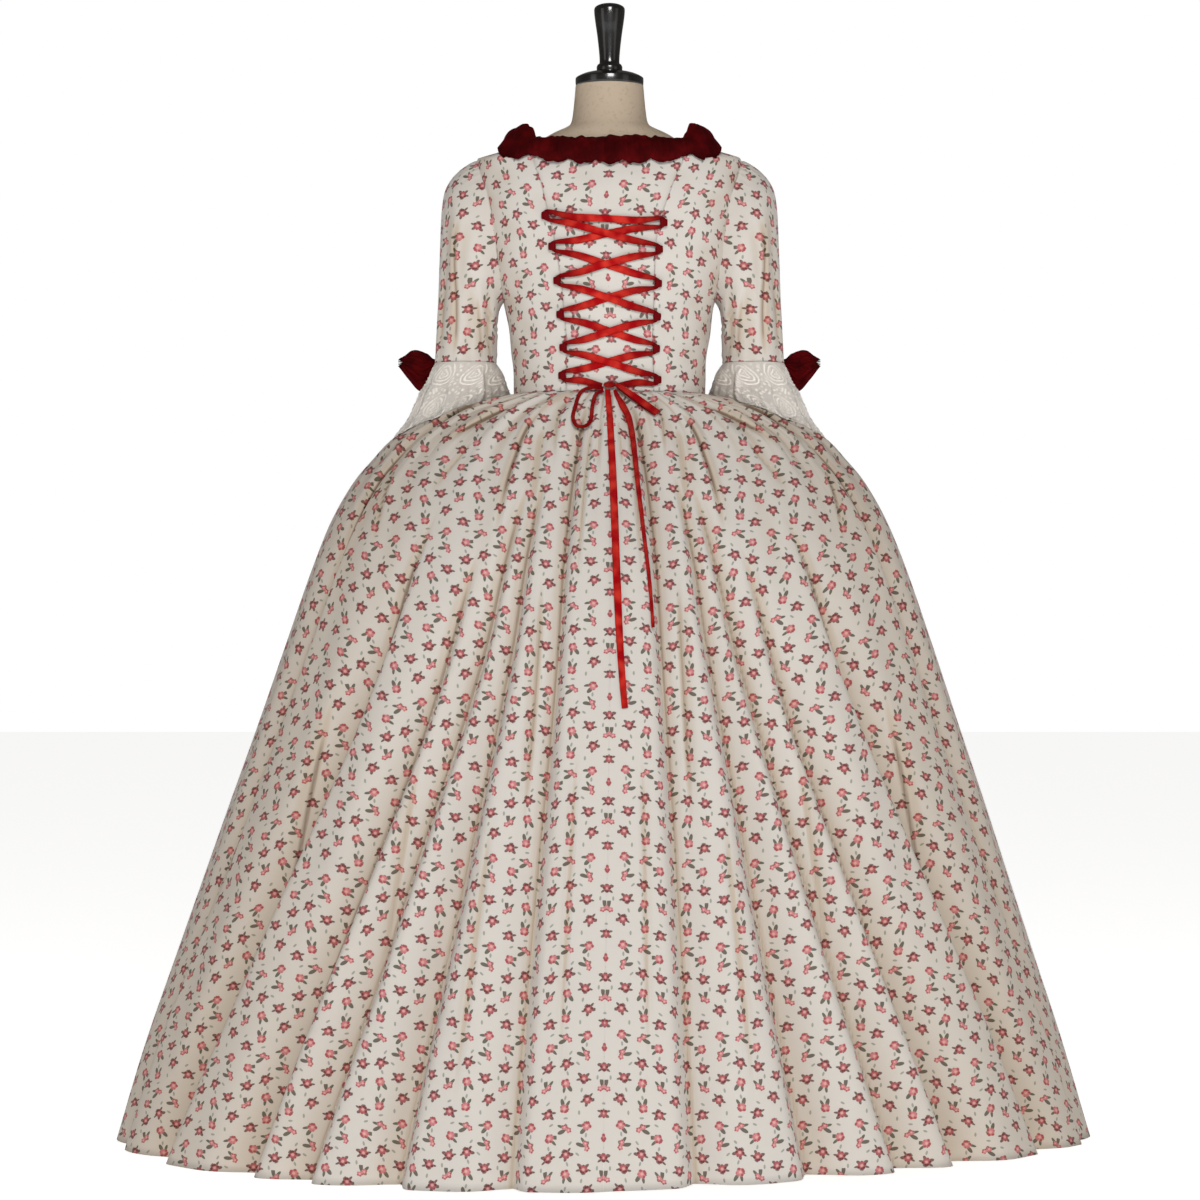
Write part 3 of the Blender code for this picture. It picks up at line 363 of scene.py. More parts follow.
# %% Finishes
class Finish:
    """One material: its shader's plain values, and the colour and relief made by nodes."""

    def __init__(self, name, **values):
        self.material = bpy.data.materials.new(name)
        self.material.use_nodes = True
        self.tree = self.material.node_tree
        self.shader = self.tree.nodes["Principled BSDF"]
        for socket, value in values.items():
            self.shader.inputs[socket.replace("_", " ")].default_value = value

    def pattern(self, kind, output=0, coordinate="UV", **values):
        node = self.tree.nodes.new(kind)
        for socket, value in values.items():
            node.inputs[socket.replace("_", " ")].default_value = value
        if coordinate:
            place = self.tree.nodes.new("ShaderNodeTexCoord")
            self.tree.links.new(place.outputs[coordinate], node.inputs["Vector"])
        return Field(self.tree, node.outputs[output])

    def noise(self, scale, detail=2.0, coordinate="UV"):
        return self.pattern("ShaderNodeTexNoise", coordinate=coordinate, Scale=scale,
                            Detail=detail)

    def cloth_place(self):
        node = self.tree.nodes.new("ShaderNodeUVMap")
        node.uv_map = "cloth"
        split = self.tree.nodes.new("ShaderNodeSeparateXYZ")
        self.tree.links.new(node.outputs[0], split.inputs[0])
        return Field(self.tree, split.outputs[0]), Field(self.tree, split.outputs[1])

    def mark(self, name):
        node = self.tree.nodes.new("ShaderNodeAttribute")
        node.attribute_name = name
        return Field(self.tree, node.outputs["Fac"])

    def dice(self, across, down):
        """Four random numbers for each cell of a print, the same at each repeat."""
        join = self.tree.nodes.new("ShaderNodeCombineXYZ")
        self.tree.links.new(across.socket, join.inputs[0])
        self.tree.links.new(down.socket, join.inputs[1])
        random = self.tree.nodes.new("ShaderNodeTexWhiteNoise")
        random.noise_dimensions = "2D"
        self.tree.links.new(join.outputs[0], random.inputs["Vector"])
        split = self.tree.nodes.new("ShaderNodeSeparateColor")
        self.tree.links.new(random.outputs["Color"], split.inputs[0])
        numbers = [Field(self.tree, socket) for socket in split.outputs]
        return numbers + [Field(self.tree, random.outputs["Value"])]

    def mix(self, base, other, share, blend="MIX"):
        """A colour between two, by a field; a colour is a tuple or another mix."""
        node = self.tree.nodes.new("ShaderNodeMix")
        node.data_type, node.blend_type = "RGBA", blend
        if isinstance(share, Field):
            self.tree.links.new(share.socket, node.inputs[0])
        else:
            node.inputs[0].default_value = share
        for socket, colour in ((node.inputs[6], base), (node.inputs[7], other)):
            if isinstance(colour, tuple):
                socket.default_value = (*colour, 1.0)
            else:
                self.tree.links.new(colour, socket)
        return node.outputs[2]

    def colour(self, source):
        self.tree.links.new(source, self.shader.inputs["Base Color"])

    def roughness(self, field):
        self.tree.links.new(field.socket, self.shader.inputs["Roughness"])

    def relief(self, field, depth):
        node = self.tree.nodes.new("ShaderNodeBump")
        node.inputs["Distance"].default_value = depth
        node.inputs["Strength"].default_value = 1.0
        self.tree.links.new(field.socket, node.inputs["Height"])
        self.tree.links.new(node.outputs[0], self.shader.inputs["Normal"])


# %% A plain weave
COTTON_THREADS, LINEN_THREADS = 0.0011, 0.0014    # from one pair of threads to the next


def weave(finish, thread):
    """Threads that go over and under each other."""
    u, v = finish.cloth_place()
    turn = FULL_TURN / thread
    return (u * turn).sine() * (v * turn).sine()


# %% [markdown]
# The cotton is printed with small roses. On a real print the motifs stand in columns,
# each dropped a little against the next, and all come back every 72 by 114 mm. Here a cell
# holds one motif, and random numbers that repeat with the print turn it, shift it and
# choose its kind: a red rose with short leaves all round, a pink one with longer leaves on
# one side, or a pair of buds. A leaf ring is one line of maths: its edge moves in and out
# with the angle round its middle. No picture is used, so the print stays sharp close up.

# %% Sizes and colours of the print, and the shade painted into its folds
MOTIF_STEP = 0.0240      # from one motif to the next across the cloth
MOTIF_ROW = 0.0285       # from one row to the next
REPEAT_ACROSS, REPEAT_DOWN = 3, 4
COLUMN_DROP = 0.37       # each column of motifs starts this much of a row lower
ROSE_REACH, BUD_REACH, LEAF_REACH = 0.0061, 0.0038, 0.0120
BUD_ASIDE = 0.0033       # how far each of two buds stands from their middle
WANDER = (0.0060, 0.0090)       # how far a motif strays across and down its cell
TICK_WANDER = (0.0190, 0.0060)
TICK_LONG, TICK_THIN = 0.0029, 0.0014
PRINT_EDGE = 0.00045     # how far the ink bleeds at the edge of a shape
GROUND, GROUND_CLOUD = (0.600, 0.560, 0.510), (0.565, 0.535, 0.495)
ROSE_DARK, ROSE_RED = (0.135, 0.010, 0.016), (0.33, 0.044, 0.052)
ROSE_PINK, ROSE_HEART = (0.54, 0.180, 0.190), (0.70, 0.38, 0.34)
LEAF_RED, LEAF_OLIVE = (0.110, 0.030, 0.028), (0.060, 0.064, 0.036)
TICK_GREY = (0.20, 0.22, 0.18)
# Painted shade: a warm colour for the folds and a dark one for their creases, multiplied in.
PAINTED_WARM_SHADE, PAINTED_DARK_SHADE = (0.84, 0.750, 0.65), (0.34, 0.27, 0.22)


# %% A rose and its leaves
def rose_print(finish, base, x, y, spin, kind):
    """Colours one motif round (x, y), turned by spin; kind chooses rose, pink or buds."""
    around = y.maths("ARCTAN2", x) + spin * FULL_TURN
    radius = (x * x + y * y).power(0.5)
    along, across = radius * around.cosine(), radius * around.sine()
    buds, pink = kind.above(0.78, 0.01), kind.above(0.45, 0.01)
    reach = buds * (BUD_REACH - ROSE_REACH) + ROSE_REACH
    beside = along.size() - buds * BUD_ASIDE
    distance = (beside * beside + across * across).power(0.5)
    petal_turn = across.maths("ARCTAN2", beside)
    petals = (petal_turn * 5.0).cosine() * 0.10 \
        + (petal_turn * 2.0 + 1.0).cosine() * 0.06 + 0.91
    bloom = (reach * petals - distance).above(0.0, PRINT_EDGE)
    one_sided = (around + 0.9).cosine() * 0.50 + 0.62
    uneven = (around + 2.2).cosine() * 0.15 + (around * 3.0).cosine() * 0.10 + 0.80
    fullness = pink * one_sided + pink.inverse() * uneven
    crowded = around + (around * 2.0 + 1.0).sine() * 0.26
    spikes = (crowded * 2.5 + 0.4).cosine().size().power(1.1)
    leaves = (fullness * spikes * LEAF_REACH - radius).above(0.0, PRINT_EDGE)
    leaf_colour = finish.mix(LEAF_RED, LEAF_OLIVE,
                             pink * 0.5 + radius * 40.0 + (around - 0.6).cosine() * 0.3)
    coloured = finish.mix(base, leaf_colour, leaves * bloom.inverse() * 0.88)
    rim = distance / reach
    crescent = (petal_turn - 1.1).cosine() * 0.35 + (petal_turn * 5.0).cosine() * 0.25
    dark = (rim + crescent).above(0.78, 0.28)
    petal = finish.mix(finish.mix(ROSE_PINK, ROSE_RED, pink.inverse() * 0.75),
                       finish.mix(ROSE_DARK, ROSE_RED, pink), dark)
    petal = finish.mix(petal, ROSE_HEART, (rim * -1.0).above(-0.32, 0.16) * 0.80)
    return finish.mix(coloured, petal, bloom * 0.94)


# %% Printed cotton
def printed_cotton():
    finish = Finish("printed cotton", Roughness=0.82, Specular_IOR_Level=0.25,
                    Sheen_Weight=0.10, Sheen_Roughness=0.5)
    u, v = finish.cloth_place()
    place = u / MOTIF_STEP + 0.5
    column = place.floor()
    repeat_x = column.modulo(REPEAT_ACROSS)
    level = v / MOTIF_ROW + repeat_x * COLUMN_DROP
    row = level.floor()
    repeat_y = row.modulo(REPEAT_DOWN)
    shift_x, shift_y, spin, _ = finish.dice(repeat_x + 5.0, repeat_y + 2.0)
    kind = (repeat_x * 0.37 + repeat_y * 0.61).modulo(1.0)
    x = (place - column - 0.5) * MOTIF_STEP + (shift_x - 0.5) * WANDER[0]
    y = (level - row - 0.5) * MOTIF_ROW + (shift_y - 0.5) * WANDER[1]
    between = level + 0.5
    tick_row = between.floor()
    tick_x, tick_y, tick_spin, _ = finish.dice(repeat_x + 17.0, tick_row.modulo(REPEAT_DOWN))
    side = (place - column - 0.5) * MOTIF_STEP + (tick_x - 0.5) * TICK_WANDER[0]
    up = (between - tick_row - 0.5) * MOTIF_ROW + (tick_y - 0.5) * TICK_WANDER[1]
    angle = up.maths("ARCTAN2", side) + tick_spin * FULL_TURN
    length = (side * side + up * up).power(0.5)
    stroke = (length * angle.cosine() / TICK_LONG).power(2.0) \
        + (length * angle.sine() / TICK_THIN).power(2.0)
    ticks = (stroke * -1.0).above(-1.0, 0.35)
    ground = finish.mix(GROUND, GROUND_CLOUD, finish.noise(9.0))
    coloured = finish.mix(ground, TICK_GREY, ticks * 0.72)
    coloured = rose_print(finish, coloured, x, y, spin, kind)
    # Painted shade: the fold mark warms the colour in folds and darkens it in creases and at the
    # sides.
    fold = finish.mark("fold")
    coloured = finish.mix(coloured, PAINTED_WARM_SHADE, fold.above(0.25, 0.25), "MULTIPLY")
    coloured = finish.mix(coloured, PAINTED_DARK_SHADE, fold.above(0.75, 0.25), "MULTIPLY")
    finish.colour(coloured)
    finish.relief(weave(finish, COTTON_THREADS) * 0.3 + finish.noise(600.0, 3.0), 0.00012)
    return finish.material


# %% [markdown]
# The other cloths are plain in colour, so their character is in the surface. Velvet is
# dark straight on and lighter where its pile is seen edge on, which sheen gives. Satin
# ribbon has a tight sheen along its length. Lace is a fine net with raised flowers, which
# catch the light, and linen is a coarse weave with thicker threads here and there.

# %% Plain cloths
SATIN_THREADS, NET_THREADS = 0.0006, 0.0024


def lining():
    finish = Finish("cotton lining", Roughness=0.9, Specular_IOR_Level=0.2)
    cloud = finish.noise(14.0)
    finish.colour(finish.mix((0.62, 0.56, 0.50), (0.54, 0.48, 0.42), cloud))
    finish.relief(weave(finish, COTTON_THREADS), 0.0001)
    return finish.material


def velvet():
    finish = Finish("burgundy velvet", Roughness=0.85, Specular_IOR_Level=0.04,
                    Sheen_Weight=0.10, Sheen_Roughness=0.35, Sheen_Tint=(0.60, 0.04, 0.06, 1.0))
    pile = finish.noise(38.0, 4.0, "Object")
    crushed = pile.above(0.55, 0.2)
    nap = finish.mix((0.034, 0.0007, 0.0011), (0.084, 0.0016, 0.0025), crushed)
    # Painted light: the loops are given a lighter velvet colour through a mark.
    finish.colour(finish.mix(nap, (0.125, 0.0022, 0.0040), finish.mark("painted_light")))
    finish.relief(finish.noise(900.0, 3.0, "Object"), 0.0004)
    return finish.material


def satin():
    finish = Finish("red satin ribbon", Specular_IOR_Level=0.15, Anisotropic=0.6,
                    Specular_Tint=(1.0, 0.20, 0.12, 1.0))
    _, v = finish.cloth_place()
    threads = (v * (FULL_TURN / SATIN_THREADS)).sine()
    # Painted highlight: noise streaks along the ribbon are lighter and more orange, standing for
    # sheen.
    painted_sheen = finish.noise(48.0, 1.0).above(0.52, 0.16)
    lit = finish.mix((0.37, 0.0022, 0.0055), (0.64, 0.038, 0.024), painted_sheen)
    # Painted shade: the shade mark darkens the satin near the loops, at its edges and on the knot
    # and bow.
    finish.colour(finish.mix(lit, (0.115, 0.0012, 0.0030), finish.mark("shade")))
    finish.roughness(painted_sheen * 0.10 + 0.28)
    finish.relief(threads, 0.00006)
    return finish.material


def lace():
    finish = Finish("cream lace", Roughness=0.85, Specular_IOR_Level=0.25, Sheen_Weight=0.15)
    u, v = finish.cloth_place()
    turn = FULL_TURN / NET_THREADS
    net = ((u + v) * turn).sine() * ((u - v) * turn).sine()
    holes = net.above(0.25, 0.25)
    raised = finish.mark("relief")
    ground = finish.mix((0.80, 0.745, 0.675), (0.64, 0.590, 0.53), holes * raised.inverse())
    coloured = finish.mix(ground, (0.90, 0.85, 0.78), raised * 0.9)
    # Painted shade where the lace folds under itself, from the fold mark.
    finish.colour(finish.mix(coloured, (0.62, 0.57, 0.52), finish.mark("fold"), "MULTIPLY"))
    finish.relief(finish.noise(700.0, 3.0) + net * raised.inverse(), 0.0004)
    return finish.material


def linen():
    finish = Finish("linen cover", Roughness=0.88, Specular_IOR_Level=0.2)
    slub = finish.noise(220.0, 3.0, "Object")
    cloud = finish.noise(6.0, 2.0, "Object")
    base = finish.mix((0.63, 0.51, 0.385), (0.56, 0.445, 0.325), cloud)
    finish.colour(finish.mix(base, (0.40, 0.31, 0.22), slub.above(0.64, 0.12) * 0.5))
    finish.relief(weave(finish, LINEN_THREADS) + slub * 1.5, 0.0003)
    return finish.material


# %% The stand's finishes
def lacquer():
    finish = Finish("black lacquer", Coat_Weight=0.6, Coat_Roughness=0.06)
    speck = finish.noise(55.0, 3.0, "Object")
    finish.colour(finish.mix((0.004, 0.0035, 0.0035), (0.009, 0.008, 0.0075), speck))
    finish.roughness(speck * 0.15 + 0.16)
    finish.relief(speck, 0.0001)
    return finish.material


def brushed_steel():
    finish = Finish("brushed steel", Metallic=1.0)
    brush = finish.noise(160.0, 2.0, "Object")
    finish.colour(finish.mix((0.40, 0.40, 0.41), (0.30, 0.30, 0.31), brush))
    finish.roughness(brush * 0.2 + 0.26)
    return finish.material


COTTON = printed_cotton()
LINING, VELVET, SATIN = lining(), velvet(), satin()
LACE, LINEN, LACQUER, STEEL = lace(), linen(), lacquer(), brushed_steel()
print("finishes:", len(bpy.data.materials))

# %% [markdown]
# The bodice is cut in panels that curve over the body: a laced-under centre back, two
# side backs that end in an armhole, two side fronts and a centre front. They are made on
# one smooth torso surface, by turn round the body and by height, so that the seams meet.
# The print is mirrored at the centre back, as the cutter has matched it.

# %% The torso surface
WAIST, NECKLINE, BUST_EDGE = 1.046, 1.3885, 1.280
SHOULDER, UNDERARM = 1.374, 1.1755
GAP, UNDERLAP, BODY_SQUARENESS = 0.0003, 0.010, 2.2
BODICE_CLOTH = 0.0015

TORSO = Profile(
    ("height", "side", "back", "front"),
    ((1.0460, 0.1340, 0.0920, 0.1060),
     (1.0800, 0.1345, 0.0910, 0.1100),
     (1.1200, 0.1390, 0.0940, 0.1190),
     (1.1650, 0.1455, 0.1000, 0.1310),
     (1.2000, 0.1560, 0.1040, 0.1370),
     (1.2400, 0.1680, 0.1070, 0.1360),
     (1.2800, 0.1750, 0.1070, 0.1280),
     (1.3190, 0.1800, 0.1030, 0.1130),
     (1.3500, 0.1845, 0.0950, 0.0950),
     (1.3740, 0.1860, 0.0850, 0.0750),
     (1.3790, 0.1720, 0.0815, 0.0690),
     (1.3840, 0.1550, 0.0780, 0.0630),
     (1.3885, 0.1300, 0.0745, 0.0580)))
LACED_EDGES = Profile(
    ("height", "left", "right"),
    ((1.0460, 0.0595, 0.0600),
     (1.0670, 0.0597, 0.0603),
     (1.1060, 0.0583, 0.0583),
     (1.1510, 0.0624, 0.0597),
     (1.1970, 0.0665, 0.0610),
     (1.2430, 0.0734, 0.0624),
     (1.2860, 0.0830, 0.0713),
     (1.3400, 0.0960, 0.0900),
     (1.3740, 0.1060, 0.1030),
     (1.3885, 0.0800, 0.0780)))
FRONT_EDGE = Profile(
    ("height", "x"),
    ((1.0460, 0.0480),
     (1.1200, 0.0560),
     (1.2000, 0.0680),
     (1.2800, 0.0740),
     (1.2900, 0.0980),
     (1.3200, 0.1100),
     (1.3500, 0.1160),
     (1.3740, 0.1200),
     (1.3825, 0.1220),
     (1.3885, 0.1290)))
ARMHOLE_SCOOP = {"back": 24.0, "front": 31.0}


# %% Places on the torso
def torso_point(turn, height):
    x, y = rounded_section(turn, TORSO.at(height, "side"), TORSO.at(height, "back"),
                           TORSO.at(height, "front"), BODY_SQUARENESS)
    return points_of(x, y, height)


def torso_normal(turn, height):
    return slope_normal(torso_point, turn, height, 0.5, 0.0004)


def on_torso(turn, height, out=0.0):
    return torso_point(turn, height) + torso_normal(turn, height) * np.asarray(out)[..., None]


def armhole_turn(height, part):
    middle, half = (SHOULDER + UNDERARM) / 2, (SHOULDER - UNDERARM) / 2
    angle = np.arccos(np.clip((height - middle) / half, -1.0, 1.0))
    scoop = ARMHOLE_SCOOP[part] * np.sin(angle)
    return 90 - scoop if part == "back" else 90 + scoop


def laced_turn(height, side_name, inset=0.0):
    x = LACED_EDGES.at(height, side_name) - inset
    return turn_of(x, TORSO.at(height, "side"), BODY_SQUARENESS)


def front_turn(height):
    return 180 - turn_of(FRONT_EDGE.at(height, "x"), TORSO.at(height, "side"),
                         BODY_SQUARENESS)


print("waist:", round(2 * float(TORSO.at(WAIST, "side")), 3), "m wide")

# %% [markdown]
# A panel is a grid between two edges, each of which is a turn for every height. A little
# drag in the cloth keeps it from looking moulded. Its print starts at the edge that it was
# matched on. Shade towards the sides and where the drag draws it in is painted into its
# colour through a mark.

# %% Bodice panels
PANEL_ROWS, PANEL_COLUMNS = 80, 40
DRAG = 0.0007            # how far the cloth lifts where it is pulled


def bodice_panel(node, first, last, top=NECKLINE, out=0.0, start_column=0):
    """A panel between two turns, each a function of height, cut on its starting edge."""
    height = np.linspace(WAIST + GAP, top, PANEL_ROWS)[:, None]
    share = np.linspace(0.0, 1.0, PANEL_COLUMNS)[None, :]
    seam = np.degrees(GAP / 2 / TORSO.at(height, "back"))
    start, end = first(height) + seam, last(height) - seam
    turn = start + (end - start) * share
    height = np.broadcast_to(height, turn.shape)
    drag = np.sin(np.radians(turn * 9)) * np.sin((height - WAIST) * 90)
    ease = DRAG * drag * smoothstep(0.0, 0.06, height - WAIST)
    # Painted shade: darker towards the sides and where the drag draws the cloth in.
    shade = 0.22 * smoothstep(34, 70, np.abs(turn)) + 0.12 * np.clip(-drag, 0, 1)
    grid = on_torso(turn, height, out + ease)
    uv = np.stack([row_distance(grid, start_column), column_distance(grid)], axis=-1)
    inside = points_of(0.0, 0.0, height)
    piece = cloth(node + "_cloth", grid, uv, COTTON, LINING, inside, marks={"fold": shade})
    sewn(piece, node, grid)


under = -(BODICE_CLOTH + 2 * GAP)
bodice_panel("bodice_back_centre",
             lambda h: -laced_turn(h, "left", -UNDERLAP),
             lambda h: laced_turn(h, "right", -UNDERLAP), out=under,
             start_column=PANEL_COLUMNS // 2)
bodice_panel("bodice_back_right", lambda h: laced_turn(h, "right"),
             lambda h: armhole_turn(h, "back"))
bodice_panel("bodice_back_left", lambda h: -armhole_turn(h, "back"),
             lambda h: -laced_turn(h, "left"), start_column=PANEL_COLUMNS - 1)
bodice_panel("bodice_side_front_right", lambda h: armhole_turn(h, "front"), front_turn,
             start_column=PANEL_COLUMNS - 1)
bodice_panel("bodice_side_front_left", lambda h: -front_turn(h),
             lambda h: -armhole_turn(h, "front"))
bodice_panel("bodice_front_centre", front_turn, lambda h: 360 - front_turn(h),
             top=BUST_EDGE, start_column=PANEL_COLUMNS // 2)

# %% [markdown]
# The sleeves reach the elbow. A sleeve is a tube between two lines, the outer and the
# inner line of the arm, and its top blends into the curved edge of the armhole. Soft long
# creases run down it where the cloth is a little loose. Its print is laid by height, and
# its front half shows the print of its back half. The left sleeve is the right one
# mirrored, print and all.

# %% Sizes of a sleeve
SLEEVE = Profile(
    ("along", "outer x", "outer z", "inner x", "inner z", "depth", "forward"),
    ((0.00, 0.1860, 1.3740, 0.1485, 1.1755, 0.0480, 0.000),
     (0.06, 0.2000, 1.3670, 0.1515, 1.1710, 0.0530, 0.001),
     (0.12, 0.2120, 1.3585, 0.1535, 1.1670, 0.0570, 0.002),
     (0.19, 0.2225, 1.3460, 0.1550, 1.1620, 0.0600, 0.003),
     (0.27, 0.2300, 1.3290, 0.1560, 1.1550, 0.0610, 0.005),
     (0.38, 0.2340, 1.3000, 0.1570, 1.1450, 0.0600, 0.007),
     (0.53, 0.2365, 1.2550, 0.1575, 1.1330, 0.0560, 0.010),
     (0.70, 0.2390, 1.2050, 0.1580, 1.1200, 0.0520, 0.013),
     (0.86, 0.2420, 1.1500, 0.1585, 1.1060, 0.0480, 0.016),
     (1.00, 0.2455, 1.0915, 0.1590, 1.0915, 0.0435, 0.018)))
CROWN_BLEND = 0.40
SLEEVE_ROWS, SLEEVE_COLUMNS = 90, 145
SLEEVE_LINES = (         # the angle, start and depth of each sharp line
    (294, 0.22, 0.0018), (243, 0.45, 0.0014), (217, 0.30, 0.0010), (322, 0.62, 0.0012),
    (66, 0.25, 0.0018), (112, 0.40, 0.0014), (35, 0.55, 0.0010))
LINE_WIDE, LINE_DEEPEST = 4.5, 0.0018     # degrees and metres
LONG_CREASE, SHORT_PULL, HEAD_GATHER = 0.0011, 0.0005, 0.0013


# %% The form of a sleeve
def oval_between(table, angle, along):
    """The oval of a sleeve or flounce: angle 0 outside, 90 in front, 180 at the body."""
    radians = np.radians(angle)
    lean = np.cos(radians)
    outer_x, outer_z = table.at(along, "outer x"), table.at(along, "outer z")
    inner_x, inner_z = table.at(along, "inner x"), table.at(along, "inner z")
    return points_of((outer_x + inner_x) / 2 + (outer_x - inner_x) / 2 * lean,
                     table.at(along, "forward") + table.at(along, "depth") * np.sin(radians),
                     (outer_z + inner_z) / 2 + (outer_z - inner_z) / 2 * lean)


def armhole_point(angle):
    middle, half = (SHOULDER + UNDERARM) / 2, (SHOULDER - UNDERARM) / 2
    radians = np.radians(angle)
    scoop = np.where(np.sin(radians) > 0, ARMHOLE_SCOOP["front"], ARMHOLE_SCOOP["back"])
    return torso_point(90 + scoop * np.sin(radians), middle + half * np.cos(radians))


ARMHOLE_CENTRE = armhole_point(np.arange(12) * 30.0).mean(axis=0)


def sleeve_point(angle, along):
    edge = armhole_point(angle)
    edge = edge + unit(ARMHOLE_CENTRE - edge) * 2 * GAP
    fade = (1 - smoothstep(0.0, CROWN_BLEND, along))[..., None]
    plain = oval_between(SLEEVE, angle, along)
    return plain + (edge - oval_between(SLEEVE, angle, np.zeros_like(along))) * fade


print("upper arm:", round(float(2 * SLEEVE.at(0.4, "depth")), 3), "m deep")


# %% Creases of a sleeve
def sleeve_creases(angle, along):
    """Long soft creases, and short ones where the underarm pulls."""
    radians = np.radians(angle)
    middle = smoothstep(0.10, 0.35, along) * (1 - 0.5 * smoothstep(0.8, 1.0, along))
    long_ones = np.cos(7 * radians + 2.0 * along) + 0.6 * np.cos(12 * radians - 3 * along + 1)
    inner = np.clip(-np.cos(radians), 0, 1)
    pulls = np.sin(along * 31 + 1.5 * np.sin(2 * radians) + 2 * np.sin(along * 13)) * inner ** 2
    head = np.clip(np.cos(radians), 0, 1) ** 2 * np.exp(-(along / 0.09) ** 2)
    gathers = np.cos(46 * radians) * head * smoothstep(0.0, 0.015, along)
    return middle * (LONG_CREASE * long_ones + SHORT_PULL * pulls) + HEAD_GATHER * gathers


def sleeve_lines(angle, along):
    """The sharp line along each long crease: its depth and the shade painted beside it."""
    depth, painted_shade = 0.0, 0.0
    for middle, start, deep in SLEEVE_LINES:
        drift = middle + 5 * np.sin(7 * along + middle)
        offset = ((angle % 360 - drift + 180) % 360 - 180) / LINE_WIDE
        strength = smoothstep(start, start + 0.18, along) * (1 - smoothstep(0.86, 1.0, along))
        depth = depth + deep * strength * np.exp(-offset ** 2)
        band = np.maximum(np.exp(-offset ** 2), 0.4 * np.exp(-((offset - 1.8) / 1.8) ** 2))
        painted_shade = np.maximum(painted_shade, strength * band * deep / LINE_DEEPEST)
    return depth, painted_shade


# %% Both sleeves
for side, side_name in SIDES:
    angle = 180 + np.linspace(0.0, 360.0, SLEEVE_COLUMNS)[None, :]
    along = np.linspace(0.0, 1.0, SLEEVE_ROWS)[:, None]
    angle, along = np.broadcast_arrays(angle, along)
    grid = sleeve_point(angle, along)
    middle = grid.mean(axis=1, keepdims=True)
    creases = sleeve_creases(angle, along)
    line_depth, line_painted_shade = sleeve_lines(angle, along)
    grid = grid + grid_normals(grid, middle) * (creases - line_depth)[..., None]
    grid[:, -1] = grid[:, 0]
    down = column_distance(grid)
    outer = int(np.argmax(np.abs(grid[..., 0]).mean(axis=0)))
    print_height = np.interp(grid[..., 2], np.maximum.accumulate(grid[::-1, outer, 2]),
                             (down[-1] - down)[::-1, outer])
    around, half = row_distance(grid * (1, 1, 0), 0), SLEEVE_COLUMNS // 2
    around = np.concatenate([around[:, :half + 1], around[:, half - 1::-1]], axis=1)
    uv = np.stack([around, print_height], axis=-1)
    grid = grid * (side, 1, 1)
    # The fold mark paints shade into the sleeve: in the creases, beside the sharp lines and a
    # little everywhere.
    sleeve = cloth(f"sleeve_{side_name}_cloth", grid, uv, COTTON, LINING,
                   grid.mean(axis=1, keepdims=True), weld=True,
                   marks={"fold": np.clip(0.22 * np.clip(-creases / 0.0020, 0, 1)
                                          + 0.10 + 0.72 * line_painted_shade, 0, 1)})
    sewn(sleeve, f"sleeve_{side_name}", grid)

# %% [markdown]
# The skirt is four wide panels pleated into the waist over hip pads, so it first runs out
# almost level and then falls to the floor in broad folds. Each fold is a valley that
# starts below the waist, wanders a little and grows deeper towards the hem. Small pleats
# at the seam die out within a hand's width. Shade is painted into the cloth's colour: warm
# in the valleys, dark in their creases and deeper towards the sides. A cloth simulation
# would give folds of its own; the listed valleys stand where they do on the real skirt.

# %% Sizes of the skirt
SKIRT_SIDE, HEM_LEAN, HEM_SWING = 1.232, -0.009, 0.0075
SKIRT = Profile(
    ("along", "height", "side", "back", "front", "squareness"),
    ((0.000, 1.0457, 0.1340, 0.0920, 0.1060, 2.20),
     (0.016, 1.0425, 0.1500, 0.0965, 0.1095, 2.15),
     (0.039, 1.0370, 0.1720, 0.1010, 0.1130, 2.10),
     (0.061, 1.0310, 0.1930, 0.1060, 0.1170, 2.10),
     (0.100, 1.0210, 0.2310, 0.1140, 0.1240, 2.05),
     (0.135, 1.0060, 0.2620, 0.1240, 0.1330, 2.05),
     (0.182, 0.9830, 0.3030, 0.1400, 0.1480, 2.00),
     (0.221, 0.9550, 0.3300, 0.1580, 0.1650, 2.00),
     (0.258, 0.9270, 0.3540, 0.1760, 0.1820, 2.00),
     (0.323, 0.8710, 0.3870, 0.2080, 0.2120, 2.00),
     (0.383, 0.8150, 0.4100, 0.2360, 0.2390, 2.00),
     (0.502, 0.7030, 0.4490, 0.2780, 0.2800, 1.95),
     (0.620, 0.5910, 0.4870, 0.3120, 0.3140, 1.92),
     (0.739, 0.4790, 0.5260, 0.3420, 0.3440, 1.90),
     (0.857, 0.3670, 0.5640, 0.3690, 0.3710, 1.87),
     (0.975, 0.2550, 0.6020, 0.3920, 0.3940, 1.84),
     (1.094, 0.1430, 0.6400, 0.4110, 0.4130, 1.81),
     (1.232, 0.0090, 0.6800, 0.4280, 0.4280, 1.78)))
FOLDS = Profile(         # valleys between the broad folds, from the centre out
    ("number", "turn at waist", "turn at hem", "start", "depth", "width"),
    ((0, 6.2, 12.5, 0.05, 0.024, 2.7),
     (1, 9.0, 27.0, 0.22, 0.036, 3.1),
     (2, 8.5, 38.5, 0.24, 0.030, 2.8),
     (3, 12.0, 47.5, 0.34, 0.034, 3.0),
     (4, 24.0, 64.0, 0.30, 0.038, 3.2),
     (5, 58.0, 78.0, 0.14, 0.018, 3.0)))
